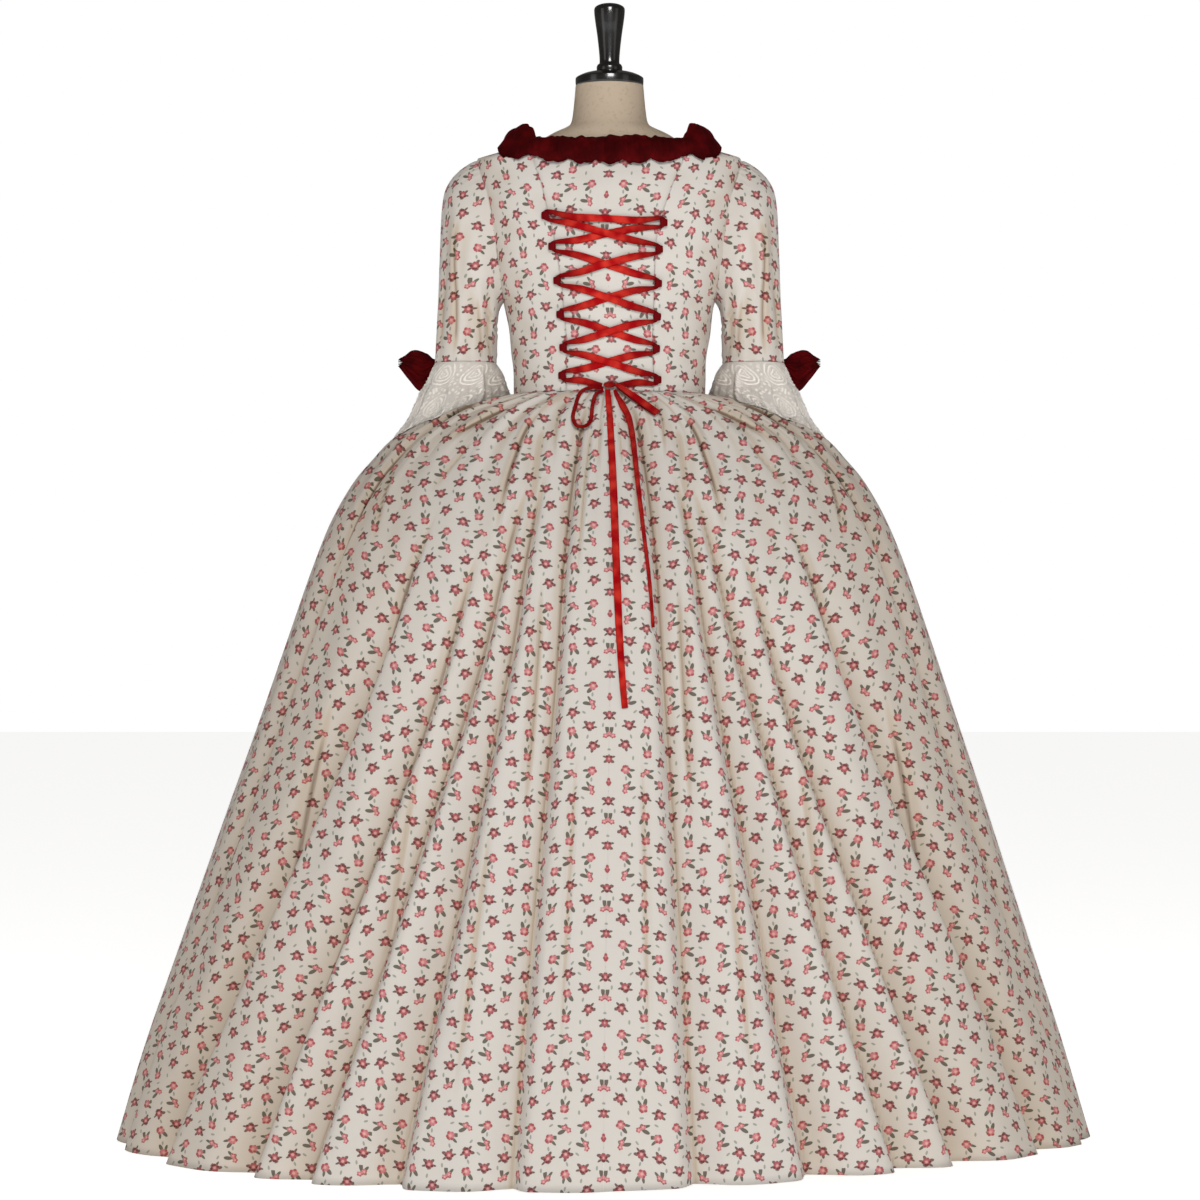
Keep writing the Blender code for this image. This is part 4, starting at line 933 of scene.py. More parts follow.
CREASES = Profile(       # shorter sharp lines; depth and width in metres
    ("number", "start", "end", "turn at start", "turn at end", "depth", "width"),
    ((0, 0.100, 0.370, 22.9, 22.6, 0.0060, 0.0036),
     (1, 0.140, 0.440, 4.7, 5.9, 0.0034, 0.0026),
     (2, 0.025, 0.250, 18.5, 12.0, 0.0036, 0.0030),
     (3, 0.400, 0.780, 12.4, 13.0, 0.0036, 0.0040),
     (4, 0.070, 0.210, 37.5, 46.0, 0.0060, 0.0060),
     (5, 0.050, 0.200, 67.5, 57.5, 0.0060, 0.0060),
     (6, 0.230, 0.360, 59.5, 52.0, 0.0034, 0.0040),
     (7, 0.130, 0.260, 2.2, 2.7, 0.0024, 0.0022),
     (8, 0.150, 0.330, 18.2, 15.0, 0.0030, 0.0060),
     (9, 0.190, 0.290, 37.0, 41.5, 0.0030, 0.0030),
     (10, 0.620, 1.120, 5.2, 6.4, 0.0024, 0.0036),
     (11, 0.720, 1.150, 17.5, 19.5, 0.0028, 0.0040),
     (12, 0.640, 1.060, 31.0, 33.5, 0.0028, 0.0040),
     (13, 0.560, 1.020, 52.0, 55.0, 0.0032, 0.0050),
     (14, 0.480, 0.930, 68.0, 70.5, 0.0030, 0.0050)))
QUARTER_GATHERS, GATHER_DEPTH, GATHER_END = 8, 0.0030, 0.42
NARROW_PLEATS, BROAD_PLEATS = 34, 15     # in each quarter, just under the waist seam
STEEP_SIDE, SLOW_SIDE = 0.50, 1.35       # a fold drops fast on one side, slowly on the other
CREASE_WIDTH, CREASE_DEPTH = 0.0042, 0.0060   # of the line at the bottom of a fold
NARROW_DEEP, BROAD_DEEP, DRAPE_DEEP = 0.0022, 0.0046, 0.0014
print("skirt:", round(2 * float(SKIRT.at(SKIRT_SIDE, "side")), 3), "m wide at the hem,",
      len(FOLDS.stations), "folds and", len(CREASES.stations), "lines in each quarter")


# %% Broad folds and sharp lines
def fold_course(number, share):
    """Where a fold starts, and its turn at a share of the way down to the hem."""
    waist, hem = FOLDS.at(number, "turn at waist"), FOLDS.at(number, "turn at hem")
    return FOLDS.at(number, "start"), waist + (hem - waist) * share ** 0.8


def fold_depth(turn, along):
    share = np.maximum(along, 0.0) / SKIRT_SIDE
    total = 0.0
    for number in range(len(FOLDS.stations)):
        start, middle = fold_course(number, share)
        growth = smoothstep(start, start + 0.30, along) * (0.35 + 0.65 * share)
        offset = (from_centre(turn) - middle) / FOLDS.at(number, "width")
        steep = np.where(offset < 0, STEEP_SIDE, SLOW_SIDE)
        total = total + FOLDS.at(number, "depth") * growth * np.exp(-(offset / steep) ** 2)
    return total


def one_crease(turn, along, middle, width):
    """A sharp line and its warm band outwards: how deep, and how much shade is painted, 0 to 1.
    """
    broader = np.where((turn > 90) & (turn < 270), 1.6, 1.0)
    metres = np.radians(from_centre(turn) - middle) * SKIRT.at(along, "side")
    offset = metres / (width * broader)
    line = np.exp(-offset ** 2)
    dark = np.exp(-((offset - 0.45) / 0.9) ** 2)
    return line, np.maximum(dark, 0.36 * np.exp(-((offset - 1.9) / 1.7) ** 2))


def skirt_creases(turn, along):
    """The depth of all sharp lines in the skirt, and the shade painted along them."""
    share = np.maximum(along, 0.0) / SKIRT_SIDE
    depth, painted_shade = np.zeros(turn.shape), np.zeros(turn.shape)
    for number in range(len(FOLDS.stations)):
        start, middle = fold_course(number, share)
        begun = smoothstep(start, start + 0.12, along)
        line, band = one_crease(turn, along, middle, CREASE_WIDTH)
        depth = depth + CREASE_DEPTH * begun * (1 - 0.55 * share) * line
        painted_shade = np.maximum(painted_shade, begun * (1 - 0.3 * share) * band)
    for number in range(len(CREASES.stations)):
        start, end = CREASES.at(number, "start"), CREASES.at(number, "end")
        run = np.clip((along - start) / (end - start), 0, 1)
        turn_there = CREASES.at(number, "turn at start") \
            + (CREASES.at(number, "turn at end") - CREASES.at(number, "turn at start")) * run
        strength = smoothstep(0.0, 0.25, run) * (1 - smoothstep(0.6, 1.0, run))
        line, band = one_crease(turn, along, turn_there, CREASES.at(number, "width"))
        deep = CREASES.at(number, "depth")
        depth = depth + deep * strength * line
        painted_shade = np.maximum(painted_shade, strength * band * np.clip(deep / 0.0045, 0.5, 1))
    return depth, painted_shade


# %% Gathers and pleats at the waist
def gather_rise(turn, along):
    fullness = (0.25 + 0.75 * smoothstep(0.0, 0.06, along)) \
        * (1 - smoothstep(0.14, GATHER_END, along))
    unevenness = 0.75 + 0.25 * np.sin(np.radians(10 * turn))
    return GATHER_DEPTH * fullness * unevenness * np.cos(np.radians(4 * QUARTER_GATHERS * turn))


def pleat_rise(turn, along):
    """Rounded pleats with sharp valleys at the seam, and faint drape lines further down."""
    radians = np.radians(turn)
    wander = 2.7 * np.sin(7 * radians) + 1.8 * np.sin(13 * radians + 0.7)
    narrow = np.abs(np.cos(2 * NARROW_PLEATS * radians + wander)) - 0.64
    broad = np.abs(np.cos(2 * BROAD_PLEATS * radians + 0.7 * wander + 2 * along)) - 0.64
    seam = smoothstep(0.0, 0.008, along)
    towards_back = 0.35 + 0.65 * np.cos(radians) ** 2
    drape = np.sin(19 * radians + 1.7 * along) + np.sin(31 * radians - 2 * along)
    return seam * towards_back * (NARROW_DEEP * narrow * np.exp(-along / 0.035)
                                  + BROAD_DEEP * broad * np.exp(-(along / 0.20) ** 2)) \
        + DRAPE_DEEP * drape * smoothstep(0.10, 0.6, along)


# %% The skirt's surface
FINE_ALONG = np.linspace(0.0, SKIRT_SIDE, 2000)


def skirt_base(turn, along):
    x, y = rounded_section(turn, SKIRT.at(along, "side"), SKIRT.at(along, "back"),
                           SKIRT.at(along, "front"), SKIRT.at(along, "squareness"))
    lean = HEM_LEAN * smoothstep(0.45, SKIRT_SIDE, along)
    swing = HEM_SWING * np.sin(np.radians(2 * turn)) * (along / SKIRT_SIDE) ** 2
    return points_of(x + lean, y, SKIRT.at(along, "height") + swing)


def skirt_point(turn, along):
    base = skirt_base(turn, along)
    inwards = unit(base * (1.0, 1.5, 0.0))
    rise = gather_rise(turn, along)
    lift = rise * (1 - smoothstep(0.02, 0.25, along))
    out = rise + pleat_rise(turn, along) - fold_depth(turn, along) \
        - skirt_creases(turn, along)[0]
    return base + inwards * out[..., None] + points_of(0.0, 0.0, lift)


def skirt_back(x, height):
    """The y of the skirt's back at places near the centre back."""
    along = np.interp(-np.asarray(height), -SKIRT.at(FINE_ALONG, "height"), FINE_ALONG)
    turn = turn_of(np.abs(x), SKIRT.at(along, "side"), SKIRT.at(along, "squareness"))
    return skirt_base(np.copysign(turn, x), along)[..., 1]


# %% [markdown]
# A skirt panel covers a quarter of the way round. Its columns stand closer where the
# creases are finest, and its print is laid on a part of a ring, which is how a flaring
# panel is cut. A mark paints shade into the cloth by how deep a point lies in a fold or
# beside a crease, and by how near it is to the sides.

# %% Columns and rows of a panel
CONE_TOP = 0.29          # the panels' cut is part of a ring; this is its inner radius
SEAM = 0.00004           # what a sewn seam leaves open
QUARTERS = (("skirt_back_right", 0, 90), ("skirt_front_right", 90, 180),
            ("skirt_front_left", 180, 270), ("skirt_back_left", 270, 360))
BACK_COLUMNS, FRONT_COLUMNS, CROWDING = 330, 150, 1.3


def skirt_rows():
    near = np.linspace(0.0, 0.06, 21)[:-1]
    return np.concatenate([near, np.linspace(0.06, SKIRT_SIDE, 105)])


def skirt_columns(first, last, count):
    """Columns that stand closer together towards the centre back, where the creases are."""
    edge = np.array([0.0, 0.08, 0.25])
    share = np.linspace(0.0, 1.0, count) ** (CROWDING if first == 0 else 1.0)
    if last == 360:
        share = 1 - np.linspace(1.0, 0.0, count) ** CROWDING
    return np.concatenate([first + edge, first + 0.5 + (last - first - 1.0) * share,
                           last - edge[::-1]])


def painted_shade_mark(turn, along):
    """Painted shade: 0 in open cloth, 0.5 in warm shade, 1 in a crease's dark, more at the sides.
    """
    # Painted shade in the broad valleys and where the gathers dip at the shelf.
    valley = 0.26 * np.clip(fold_depth(turn, along) / 0.030, 0, 1) ** 1.5
    shelf = 0.34 * np.clip(-gather_rise(turn, along) / GATHER_DEPTH, 0, 1) ** 2
    pleats = np.clip(-pleat_rise(turn, along) / 0.0030, 0, 1) ** 1.5 \
        * (1 - smoothstep(0.2, 0.5, along))
    # Painted shade that darkens the skirt towards its sides.
    sides = 0.28 * smoothstep(15, 70, from_centre(turn))
    painted_shade = np.maximum(0.9 * skirt_creases(turn, along)[1], 0.8 * pleats)
    return np.clip(np.maximum(valley + shelf, painted_shade) + sides, 0, 1)


# %% The four skirt panels
for node, first, last in QUARTERS:
    columns = BACK_COLUMNS if "back" in node else FRONT_COLUMNS
    turn, along = np.meshgrid(skirt_columns(first, last, columns), skirt_rows())
    grid = skirt_point(turn, along)
    seam = np.exp(-(np.minimum(turn - first, last - turn) / 0.16) ** 2)
    grid = grid + unit(grid * (-1, -1, 0)) * (0.0003 * seam)[..., None]
    for column, edge, ahead in ((0, first, 1), (-1, last, -1)):
        grid[:, column] += compass(edge) * ahead * SEAM / 2
    centre_column = 0 if first % 180 == 0 else -1
    down, around = column_distance(grid), row_distance(grid, centre_column)
    ring = CONE_TOP + down
    uv = np.stack([ring * np.sin(around / ring), -ring * np.cos(around / ring)], axis=-1)
    panel = cloth(node + "_cloth", grid, uv, COTTON, LINING, points_of(0, 0, grid[..., 2]),
                  marks={"fold": painted_shade_mark(turn, along)})
    sewn(panel, node, grid)

# %% [markdown]
# A lace flounce is sewn to each sleeve at the elbow: a gathered tube that flares and rests
# on the skirt. Its roses are raised cord work, so they are pushed out of the net as real
# relief, and its lower edge is scalloped. The same relief is kept as a mark, which lets the
# finish make the raised thread lighter than the net.

# %% The form of a flounce
FLOUNCE = Profile(
    ("along", "outer x", "outer z", "inner x", "inner z", "depth", "forward"),
    ((0.00, 0.2455, 1.0912, 0.1590, 1.0912, 0.0435, 0.018),
     (0.22, 0.2540, 1.0690, 0.1490, 1.0740, 0.0500, 0.019),
     (0.45, 0.2640, 1.0500, 0.1440, 1.0600, 0.0550, 0.021),
     (0.72, 0.2770, 1.0180, 0.1410, 1.0520, 0.0620, 0.025),
     (1.00, 0.3060, 0.9770, 0.1400, 1.0480, 0.0700, 0.030)))
FLOUNCE_COLUMNS, FLOUNCE_ROWS = 225, 72
FLOUNCE_WAVES, WAVE_HIGH, SHELF_CLEARANCE = 9, 0.006, 0.0026
LAP_PLACE, LAP_DEEP = 121, 0.0040         # degrees from the outer side, metres
LACE_SKIN, LACE_RAISED, SCALLOP = 0.0008, 0.0010, 0.0125
LACE_STEP, LACE_ROSE = 0.048, 0.0185      # from rose to rose, and a rose's reach


def skirt_top(x, y):
    """The height of the skirt's widening top over places (x, y)."""
    height = np.zeros(x.shape)
    open_place = np.ones(x.shape, bool)
    for along in np.arange(400) * 0.001:
        depth = np.where(y < 0, SKIRT.at(along, "back"), SKIRT.at(along, "front"))
        power = SKIRT.at(along, "squareness")
        reach = (np.abs(x) / SKIRT.at(along, "side")) ** power + (np.abs(y) / depth) ** power
        here = open_place & (reach <= 1)
        height[here] = SKIRT.at(along, "height")
        open_place &= ~here
    return height


def from_outside(angle):
    return np.minimum(angle % 360, 360 - angle % 360)


def lace_lap(angle):
    """1 where the lace is folded under itself, at the back and at the front of the arm."""
    past = from_outside(angle)
    return smoothstep(LAP_PLACE - 2, LAP_PLACE + 1, past) * (1 - smoothstep(124, 150, past))


def flounce_point(angle, along):
    point = oval_between(FLOUNCE, angle, along)
    radians = np.radians(angle)
    outwards = (1 + np.cos(radians)) / 2
    wave = WAVE_HIGH * along * (0.15 + 0.85 * outwards) * np.cos(FLOUNCE_WAVES * radians)
    small = 0.0011 * along * np.cos(31 * radians + 3 * along)
    lap = -LAP_DEEP * smoothstep(0.0, 0.4, along) * lace_lap(angle)
    bend = (wave + small + lap)[..., None]
    point = point + points_of(np.cos(radians), np.sin(radians), 0.0) * bend
    floor = skirt_top(point[..., 0], point[..., 1]) + SHELF_CLEARANCE * along
    point[..., 2] = np.where(along > 0, np.maximum(point[..., 2], floor), point[..., 2])
    return point


# %% The relief of the lace
def rose_relief(u, v):
    """Raised thread: a rose of nested petals in each cell, small scrolls between."""
    row = np.floor(v / LACE_STEP)
    x = (u / LACE_STEP + 0.5 * (row % 2)) % 1 - 0.5
    y = (v / LACE_STEP) % 1 - 0.5
    radius = np.hypot(x, y) * LACE_STEP
    angle = np.arctan2(y, x)
    ring = radius / LACE_ROSE
    petals = np.cos(ring * 3.4 * FULL_TURN + 1.6 * np.cos(3 * angle + 2 * ring))
    rose = smoothstep(0.25, 0.8, petals) * (1 - smoothstep(1.0, 1.08, ring))
    scroll = np.cos(u * 620 + 2 * np.sin(v * 260)) * np.cos(v * 560 + 2 * np.sin(u * 230))
    return np.clip(rose + smoothstep(1.08, 1.2, ring) * smoothstep(0.3, 0.7, scroll), 0, 1)


def lace_relief(signed, down, along):
    """Roses and scrolls in the net, and a row of small scallops along the edge."""
    relief = rose_relief(signed + 0.5 * LACE_STEP, down + 0.12 * LACE_STEP)
    relief *= smoothstep(0.0, 0.08, along)
    scallop = 0.5 + 0.5 * np.cos(signed / SCALLOP * FULL_TURN)
    edge = smoothstep(0.93, 0.96, along)
    relief = np.maximum(relief * (1 - edge), edge * smoothstep(0.3, 0.6, scallop))
    relief[:, -1] = relief[:, 0]
    return relief


# %% Both flounces
for side, side_name in SIDES:
    angle, along = np.meshgrid(180 + np.linspace(0, 360, FLOUNCE_COLUMNS),
                               np.linspace(0, 1, FLOUNCE_ROWS))
    grid = flounce_point(angle, along)
    around, down = row_distance(grid, FLOUNCE_COLUMNS // 2), column_distance(grid)
    signed = np.where(angle < 360, -around, around)
    relief = lace_relief(signed, down, along)
    normals = grid_normals(grid, grid.mean(axis=1, keepdims=True))
    grid = grid + normals * (relief * LACE_RAISED)[..., None]
    grid[:, -1] = grid[:, 0]
    uv = np.stack([signed, -down], axis=-1)
    # Painted shade along the line where the lace laps under itself, and on the part beyond it.
    past = from_outside(angle)
    lap_shade = 0.55 * np.exp(-((past - LAP_PLACE) / 2.2) ** 2)
    shaded = (0.30 * smoothstep(116, 124, past) + lap_shade) * smoothstep(0.0, 0.25, along)
    grid = grid * (side, 1, 1)
    flounce = cloth(f"cuff_flounce_{side_name}_lace", grid, uv, LACE, LACE,
                    grid.mean(axis=1, keepdims=True), thickness=LACE_SKIN, weld=True,
                    marks={"relief": relief, "fold": shaded})
    sewn(flounce, f"cuff_flounce_{side_name}", grid)

# %% [markdown]
# A velvet bow trims each elbow. Its two wings are folded loops that open like a fan from a
# tight knot. Each wing is a loop of cloth seen edge on, with pleats that run out from the
# knot and fade.

# %% Sizes of a bow
BOW_ANGLE, BOW_HEIGHT, BOW_OUT = 50.0, 1.092, 0.0060
WING = Profile(
    ("reach", "top", "bottom", "half gap"),
    ((0.00, 0.006, -0.007, 0.0016),
     (0.20, 0.009, -0.014, 0.0036),
     (0.45, 0.018, -0.037, 0.0056),
     (0.74, 0.018, -0.020, 0.0046),
     (0.93, 0.011, -0.005, 0.0024),
     (1.00, 0.006, 0.000, 0.0000)))
WING_START, WING_REACH, WING_SKIN = 0.0050, 0.066, 0.0008
WING_PLEATS, PLEAT_DEEP, EDGE_RIPPLE = 4.5, 0.0017, 0.0035
BOW_KNOT = (0.0050, 0.0050, 0.0085)       # its three half sizes
WING_DIRECTIONS = {"outer": (0.97, 0.24, 0.0), "front": (-0.22, 0.97, 0.0)}


# %% Knots and wings
def knot(name, centre, radii, material, folds, replaces, marks=None):
    """A small tight knot: a rounded bead with the folds of the cloth drawn round it."""
    angle, latitude = np.meshgrid(np.linspace(0, FULL_TURN, 49),
                                  np.linspace(-math.pi / 2, math.pi / 2, 33))
    creases = 1 + 0.05 * np.cos(folds * angle + 3 * np.sin(latitude)) * np.cos(latitude)
    reach = np.cos(latitude) * creases
    grid = centre + points_of(radii[0] * reach * np.cos(angle),
                              radii[1] * reach * np.sin(angle), radii[2] * np.sin(latitude))
    uv = np.stack([angle * radii[0], latitude * radii[2]], axis=-1)
    faces = grid_faces(*grid.shape[:2])
    marks = {mark: np.full(angle.shape, value) for mark, value in (marks or {}).items()}
    piece = link_mesh(name, grid.reshape(-1, 3), faces, [material], uv.reshape(-1, 2), marks,
                      weld=True)
    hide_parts(replaces)


def bow_wing(side, side_name, wing_name, centre):
    direction = unit(np.array(WING_DIRECTIONS[wing_name]))
    sideways = np.array((-direction[1], direction[0], 0.0))
    loop, share = np.meshgrid(np.linspace(-1, 1, 73), np.linspace(0, 1, 41))
    reach = 1 - np.abs(loop)
    face = -np.sign(loop)
    ridge = np.cos(FULL_TURN * WING_PLEATS * share)
    pleats = PLEAT_DEEP * ridge * smoothstep(0.0, 0.3, reach) \
        * (1 - smoothstep(0.75, 1.0, reach))
    out = WING.at(reach, "half gap") * face + pleats
    low, high = WING.at(reach, "bottom"), WING.at(reach, "top")
    run = WING_START + (WING_REACH - WING_START) * reach * (1 + 0.05 * ridge)
    high = high + EDGE_RIPPLE * np.abs(np.sin(reach * 7.5)) * smoothstep(0.2, 0.5, reach)
    grid = centre + direction * run[..., None] + sideways * out[..., None] \
        + points_of(0, 0, low + (high - low) * share)
    uv = np.stack([row_distance(grid, 0), column_distance(grid)], axis=-1)
    grid = grid * (side, 1, 1)
    spine = (centre + direction * (WING_REACH / 2)) * (side, 1, 1)
    wing = cloth(f"elbow_bow_{wing_name}_{side_name}_velvet", grid, uv, VELVET, VELVET,
                 spine, thickness=WING_SKIN)
    sewn(wing, f"elbow_bow_{wing_name}_{side_name}", grid)


# %% Both elbow bows
for side, side_name in SIDES:
    seat = oval_between(SLEEVE, BOW_ANGLE, 0.985)
    centre = np.array((seat[0], seat[1], BOW_HEIGHT)) + compass(BOW_ANGLE) * BOW_OUT
    knot(f"elbow_bow_knot_{side_name}_velvet", centre * (side, 1, 1), BOW_KNOT,
         VELVET, 9, f"elbow_bow_knot_{side_name}")
    for wing_name in WING_DIRECTIONS:
        bow_wing(side, side_name, wing_name, centre)

# %% [markdown]
# A gathered velvet band, the ruche, covers the whole neckline. It lies on the bodice along
# its lower, scalloped edge, puffs out in the middle and stands up at its top edge, most of
# all on the shoulders. The band is walked out over the torso from the neckline, so it
# follows the body, and narrow pleats are added across it.

# %% The neckline ruche
RUCHE_WAVES = 24
RUCHE_COLUMNS = 24 * RUCHE_WAVES
RUCHE_FALL, RUCHE_MIDDLE, RUCHE_RISE, SHOULDER_RISE = 0.0330, 0.0140, 0.0070, 0.0200
RUCHE_LOBE, RUCHE_SEAT, RUCHE_PUFF = 0.0085, 0.0021, 0.0100
RUCHE_LIMIT = 0.1440     # the band's outer edge on the shoulders, from the middle


def neckline_places():
    """Even places along the whole neckline, from the centre back round."""
    turns = [90 * k / 24 for k in range(25)]
    heights = [NECKLINE] * 25
    down = NECKLINE + (BUST_EDGE - NECKLINE) * np.arange(1, 25) / 24
    turns += list(front_turn(down))
    heights += list(down)
    last = float(front_turn(BUST_EDGE))
    turns += [last + (180 - last) * k / 10 for k in range(1, 11)]
    heights += [BUST_EDGE] * 10
    turns = np.array(turns + [360 - turn for turn in turns[-2::-1]])
    heights = np.array(heights + heights[-2::-1])
    steps = np.linalg.norm(np.diff(torso_point(turns, heights), axis=0), axis=-1)
    distance = np.concatenate([[0.0], np.cumsum(steps)])
    even = np.linspace(0.0, distance[-1], RUCHE_COLUMNS + 1)[:-1]
    print("neckline:", round(distance[-1], 3), "m")
    return np.interp(even, distance, turns), np.interp(even, distance, heights)


def walk_torso(turn, height, direction, distance):
    steps = 8
    for _ in range(steps):
        height = np.minimum(height, NECKLINE - 0.001)
        around = torso_point(turn + 0.5, height) - torso_point(turn - 0.5, height)
        along = (torso_point(turn, height + 0.0005) - torso_point(turn, height - 0.0005)) / 0.001
        normal = unit(np.cross(around, along))
        heading = unit(direction - normal * np.sum(direction * normal, -1, keepdims=True))
        aa, bb = np.sum(around * around, -1), np.sum(along * along, -1)
        ab = np.sum(around * along, -1)
        pa, pb = np.sum(heading * around, -1), np.sum(heading * along, -1)
        spread = aa * bb - ab ** 2
        turn = turn + distance / steps * (pa * bb - pb * ab) / spread
        height = height + distance / steps * (pb * aa - pa * ab) / spread
    return turn, height


def averaged(ring, reach):
    return sum(np.roll(ring, k, axis=0) for k in range(-reach, reach + 1)) / (2 * reach + 1)


turns, heights = neckline_places()
base = averaged(torso_point(turns, heights), 6)
normals = unit(averaged(torso_normal(turns, np.minimum(heights, NECKLINE - 0.001)), 6))
tangents = unit(np.roll(base, -1, axis=0) - np.roll(base, 1, axis=0))
upwards = unit(np.cross(normals, tangents))
phase = FULL_TURN * np.arange(RUCHE_COLUMNS) / RUCHE_COLUMNS
wave, slow = np.cos(phase * RUCHE_WAVES), np.sin(phase * 7)
crumple = np.sin(phase * 41 + 1.0) * 0.6 + np.sin(phase * 67 + 2.0) * 0.4
shoulder = smoothstep(0.102, 0.116, np.abs(base[:, 0])) * smoothstep(1.362, 1.385, base[:, 2])
corner = averaged(smoothstep(0.104, 0.114, np.abs(base[:, 0])) * (base[:, 1] < -0.012)
                  * (1 - smoothstep(0.128, 0.136, np.abs(base[:, 0]))), 5)
notch = np.exp(-((np.abs(base[:, 0]) - 0.098) / 0.0045) ** 2) * (base[:, 1] < 0)
lobe = np.abs(np.cos(phase * RUCHE_WAVES / 2))
fall = RUCHE_FALL - 0.018 * shoulder + 0.028 * corner + RUCHE_LOBE * (lobe - 0.35) \
    - 0.007 * notch + 0.0012 * crumple
downwards = unit(-upwards - points_of(0.0, 0.0, 0.7 * corner))
room = (RUCHE_LIMIT - np.abs(base[:, 0])) / np.maximum(np.abs(downwards[:, 0]), 0.05)
fall = np.where(shoulder > 0.01, np.minimum(fall, np.maximum(room, 0.004)), fall)
lower = on_torso(*walk_torso(turns, heights, downwards, fall),
                 RUCHE_SEAT + 0.0022 * (1 + wave))
middle_row = on_torso(*walk_torso(turns, heights, -upwards,
                                  RUCHE_MIDDLE * (1 - 0.8 * shoulder)),
                      RUCHE_PUFF + 0.0015 * (1 - wave) + 0.012 * shoulder)
stand = unit(upwards * (1 - 0.6 * shoulder)[:, None]
             + points_of(0.0, 0.0, 0.8 + 0.8 * shoulder))
lumps = np.abs(np.sin(phase * 29 + 0.6)) - 0.5
rise = RUCHE_RISE + SHOULDER_RISE * shoulder + 0.0015 * slow + 0.0010 * wave \
    + 0.0012 * crumple + (0.0012 + 0.0045 * shoulder) * lumps
upper = base + stand * rise[:, None] + normals * 0.0050
across = np.linspace(-1, 1, 17)[:, None, None]
grid = lower * (across * (across - 1) / 2) + middle_row * (1 - across ** 2) \
    + upper * (across * (across + 1) / 2)
pleats = np.cos(phase * RUCHE_WAVES * 3 + 2 * np.sin(phase * 11))[None, :] \
    + 0.7 * np.cos(phase * RUCHE_WAVES * 5 + 1.5 * across[..., 0])
bulge = 0.0009 * pleats * (1 - 0.6 * across[..., 0] ** 2)
grid = grid + normals * bulge[..., None]
grid = np.concatenate([grid, grid[:, :1]], axis=1)
uv = np.stack([row_distance(grid, 0), column_distance(grid)], axis=-1)
ruche = cloth("neck_ruche_velvet", grid, uv, VELVET, VELVET,
              np.array((0.0, 0.0, 1.30)), thickness=0.0012, weld=True)
sewn(ruche, "neck_ruche", np.swapaxes(grid, 0, 1))

# %% [markdown]
# The back closes with one satin ribbon. It climbs through alternate velvet loops, crosses
# over at the top and comes down through the others, and its ends tie in a bow. A ribbon is
# a flat strip: it needs a path, the way its broad face looks, and its width, which shrinks
# where a loop gathers it. The paths are those of the solids, so nothing cuts the cloth.

# %% Strips of ribbon
RIBBON_SKIN = 0.0005


def smooth_line(values, per_span):
    return refine(np.asarray(values, float), per_span)


def ribbon(name, path, facing, widths, node, cup=0.0003, ripple=0.0, shade=0.0):
    """A thin strip along a path; its broad face looks along the facing vectors."""
    tangents = unit(np.gradient(path, axis=0))
    side_ways = unit(np.cross(tangents, facing))
    out = unit(np.cross(side_ways, tangents))
    across = np.linspace(-0.5, 0.5, 7)
    length = np.concatenate([[0], np.cumsum(np.linalg.norm(np.diff(path, axis=0), axis=-1))])
    bend = cup * (1 - (2 * across) ** 2)[None, :] \
        + ripple * np.sin(length * 260)[:, None] * (2 * across)[None, :]
    grid = path[:, None] + side_ways[:, None] * (widths[:, None] * across)[..., None] \
        + out[:, None] * bend[..., None]
    uv = np.stack(np.broadcast_arrays(across[None, :] * widths[:, None], length[:, None]), -1)
    inside = grid - out[:, None]
    # Painted shade: the shade mark, with darker edges across the ribbon.
    shade = np.broadcast_to(shade, (len(path),))[:, None] + 0.25 * (2 * across[None, :]) ** 4
    piece = cloth(name, grid, uv, SATIN, SATIN, inside, thickness=RIBBON_SKIN,
                  marks={"shade": np.clip(shade, 0, 1)})
    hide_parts(node)
    print(name, "length", round(float(length[-1]), 3), "m")
    return piece, float(length[-1])


# %% Lacing loops
LOOP_HEIGHTS = {"left": (1.2855, 1.2430, 1.1970, 1.1510, 1.1060, 1.0670),
                "right": (1.2755, 1.2390, 1.1930, 1.1480, 1.1045, 1.0615)}
LOOP_CORD, LOOP_WIDE, LOOP_DEEP = 0.0011, 0.0046, 0.0026
LOOP_BAND = 0.0066       # half the height of the velvet band that makes a loop
LOOP_OUT = GAP + LOOP_CORD + LOOP_DEEP


def loop_place(number, side_name):
    height = LOOP_HEIGHTS[side_name][number]
    turn = float(laced_turn(height, side_name, -LOOP_WIDE))
    return (turn if side_name == "right" else -turn), height


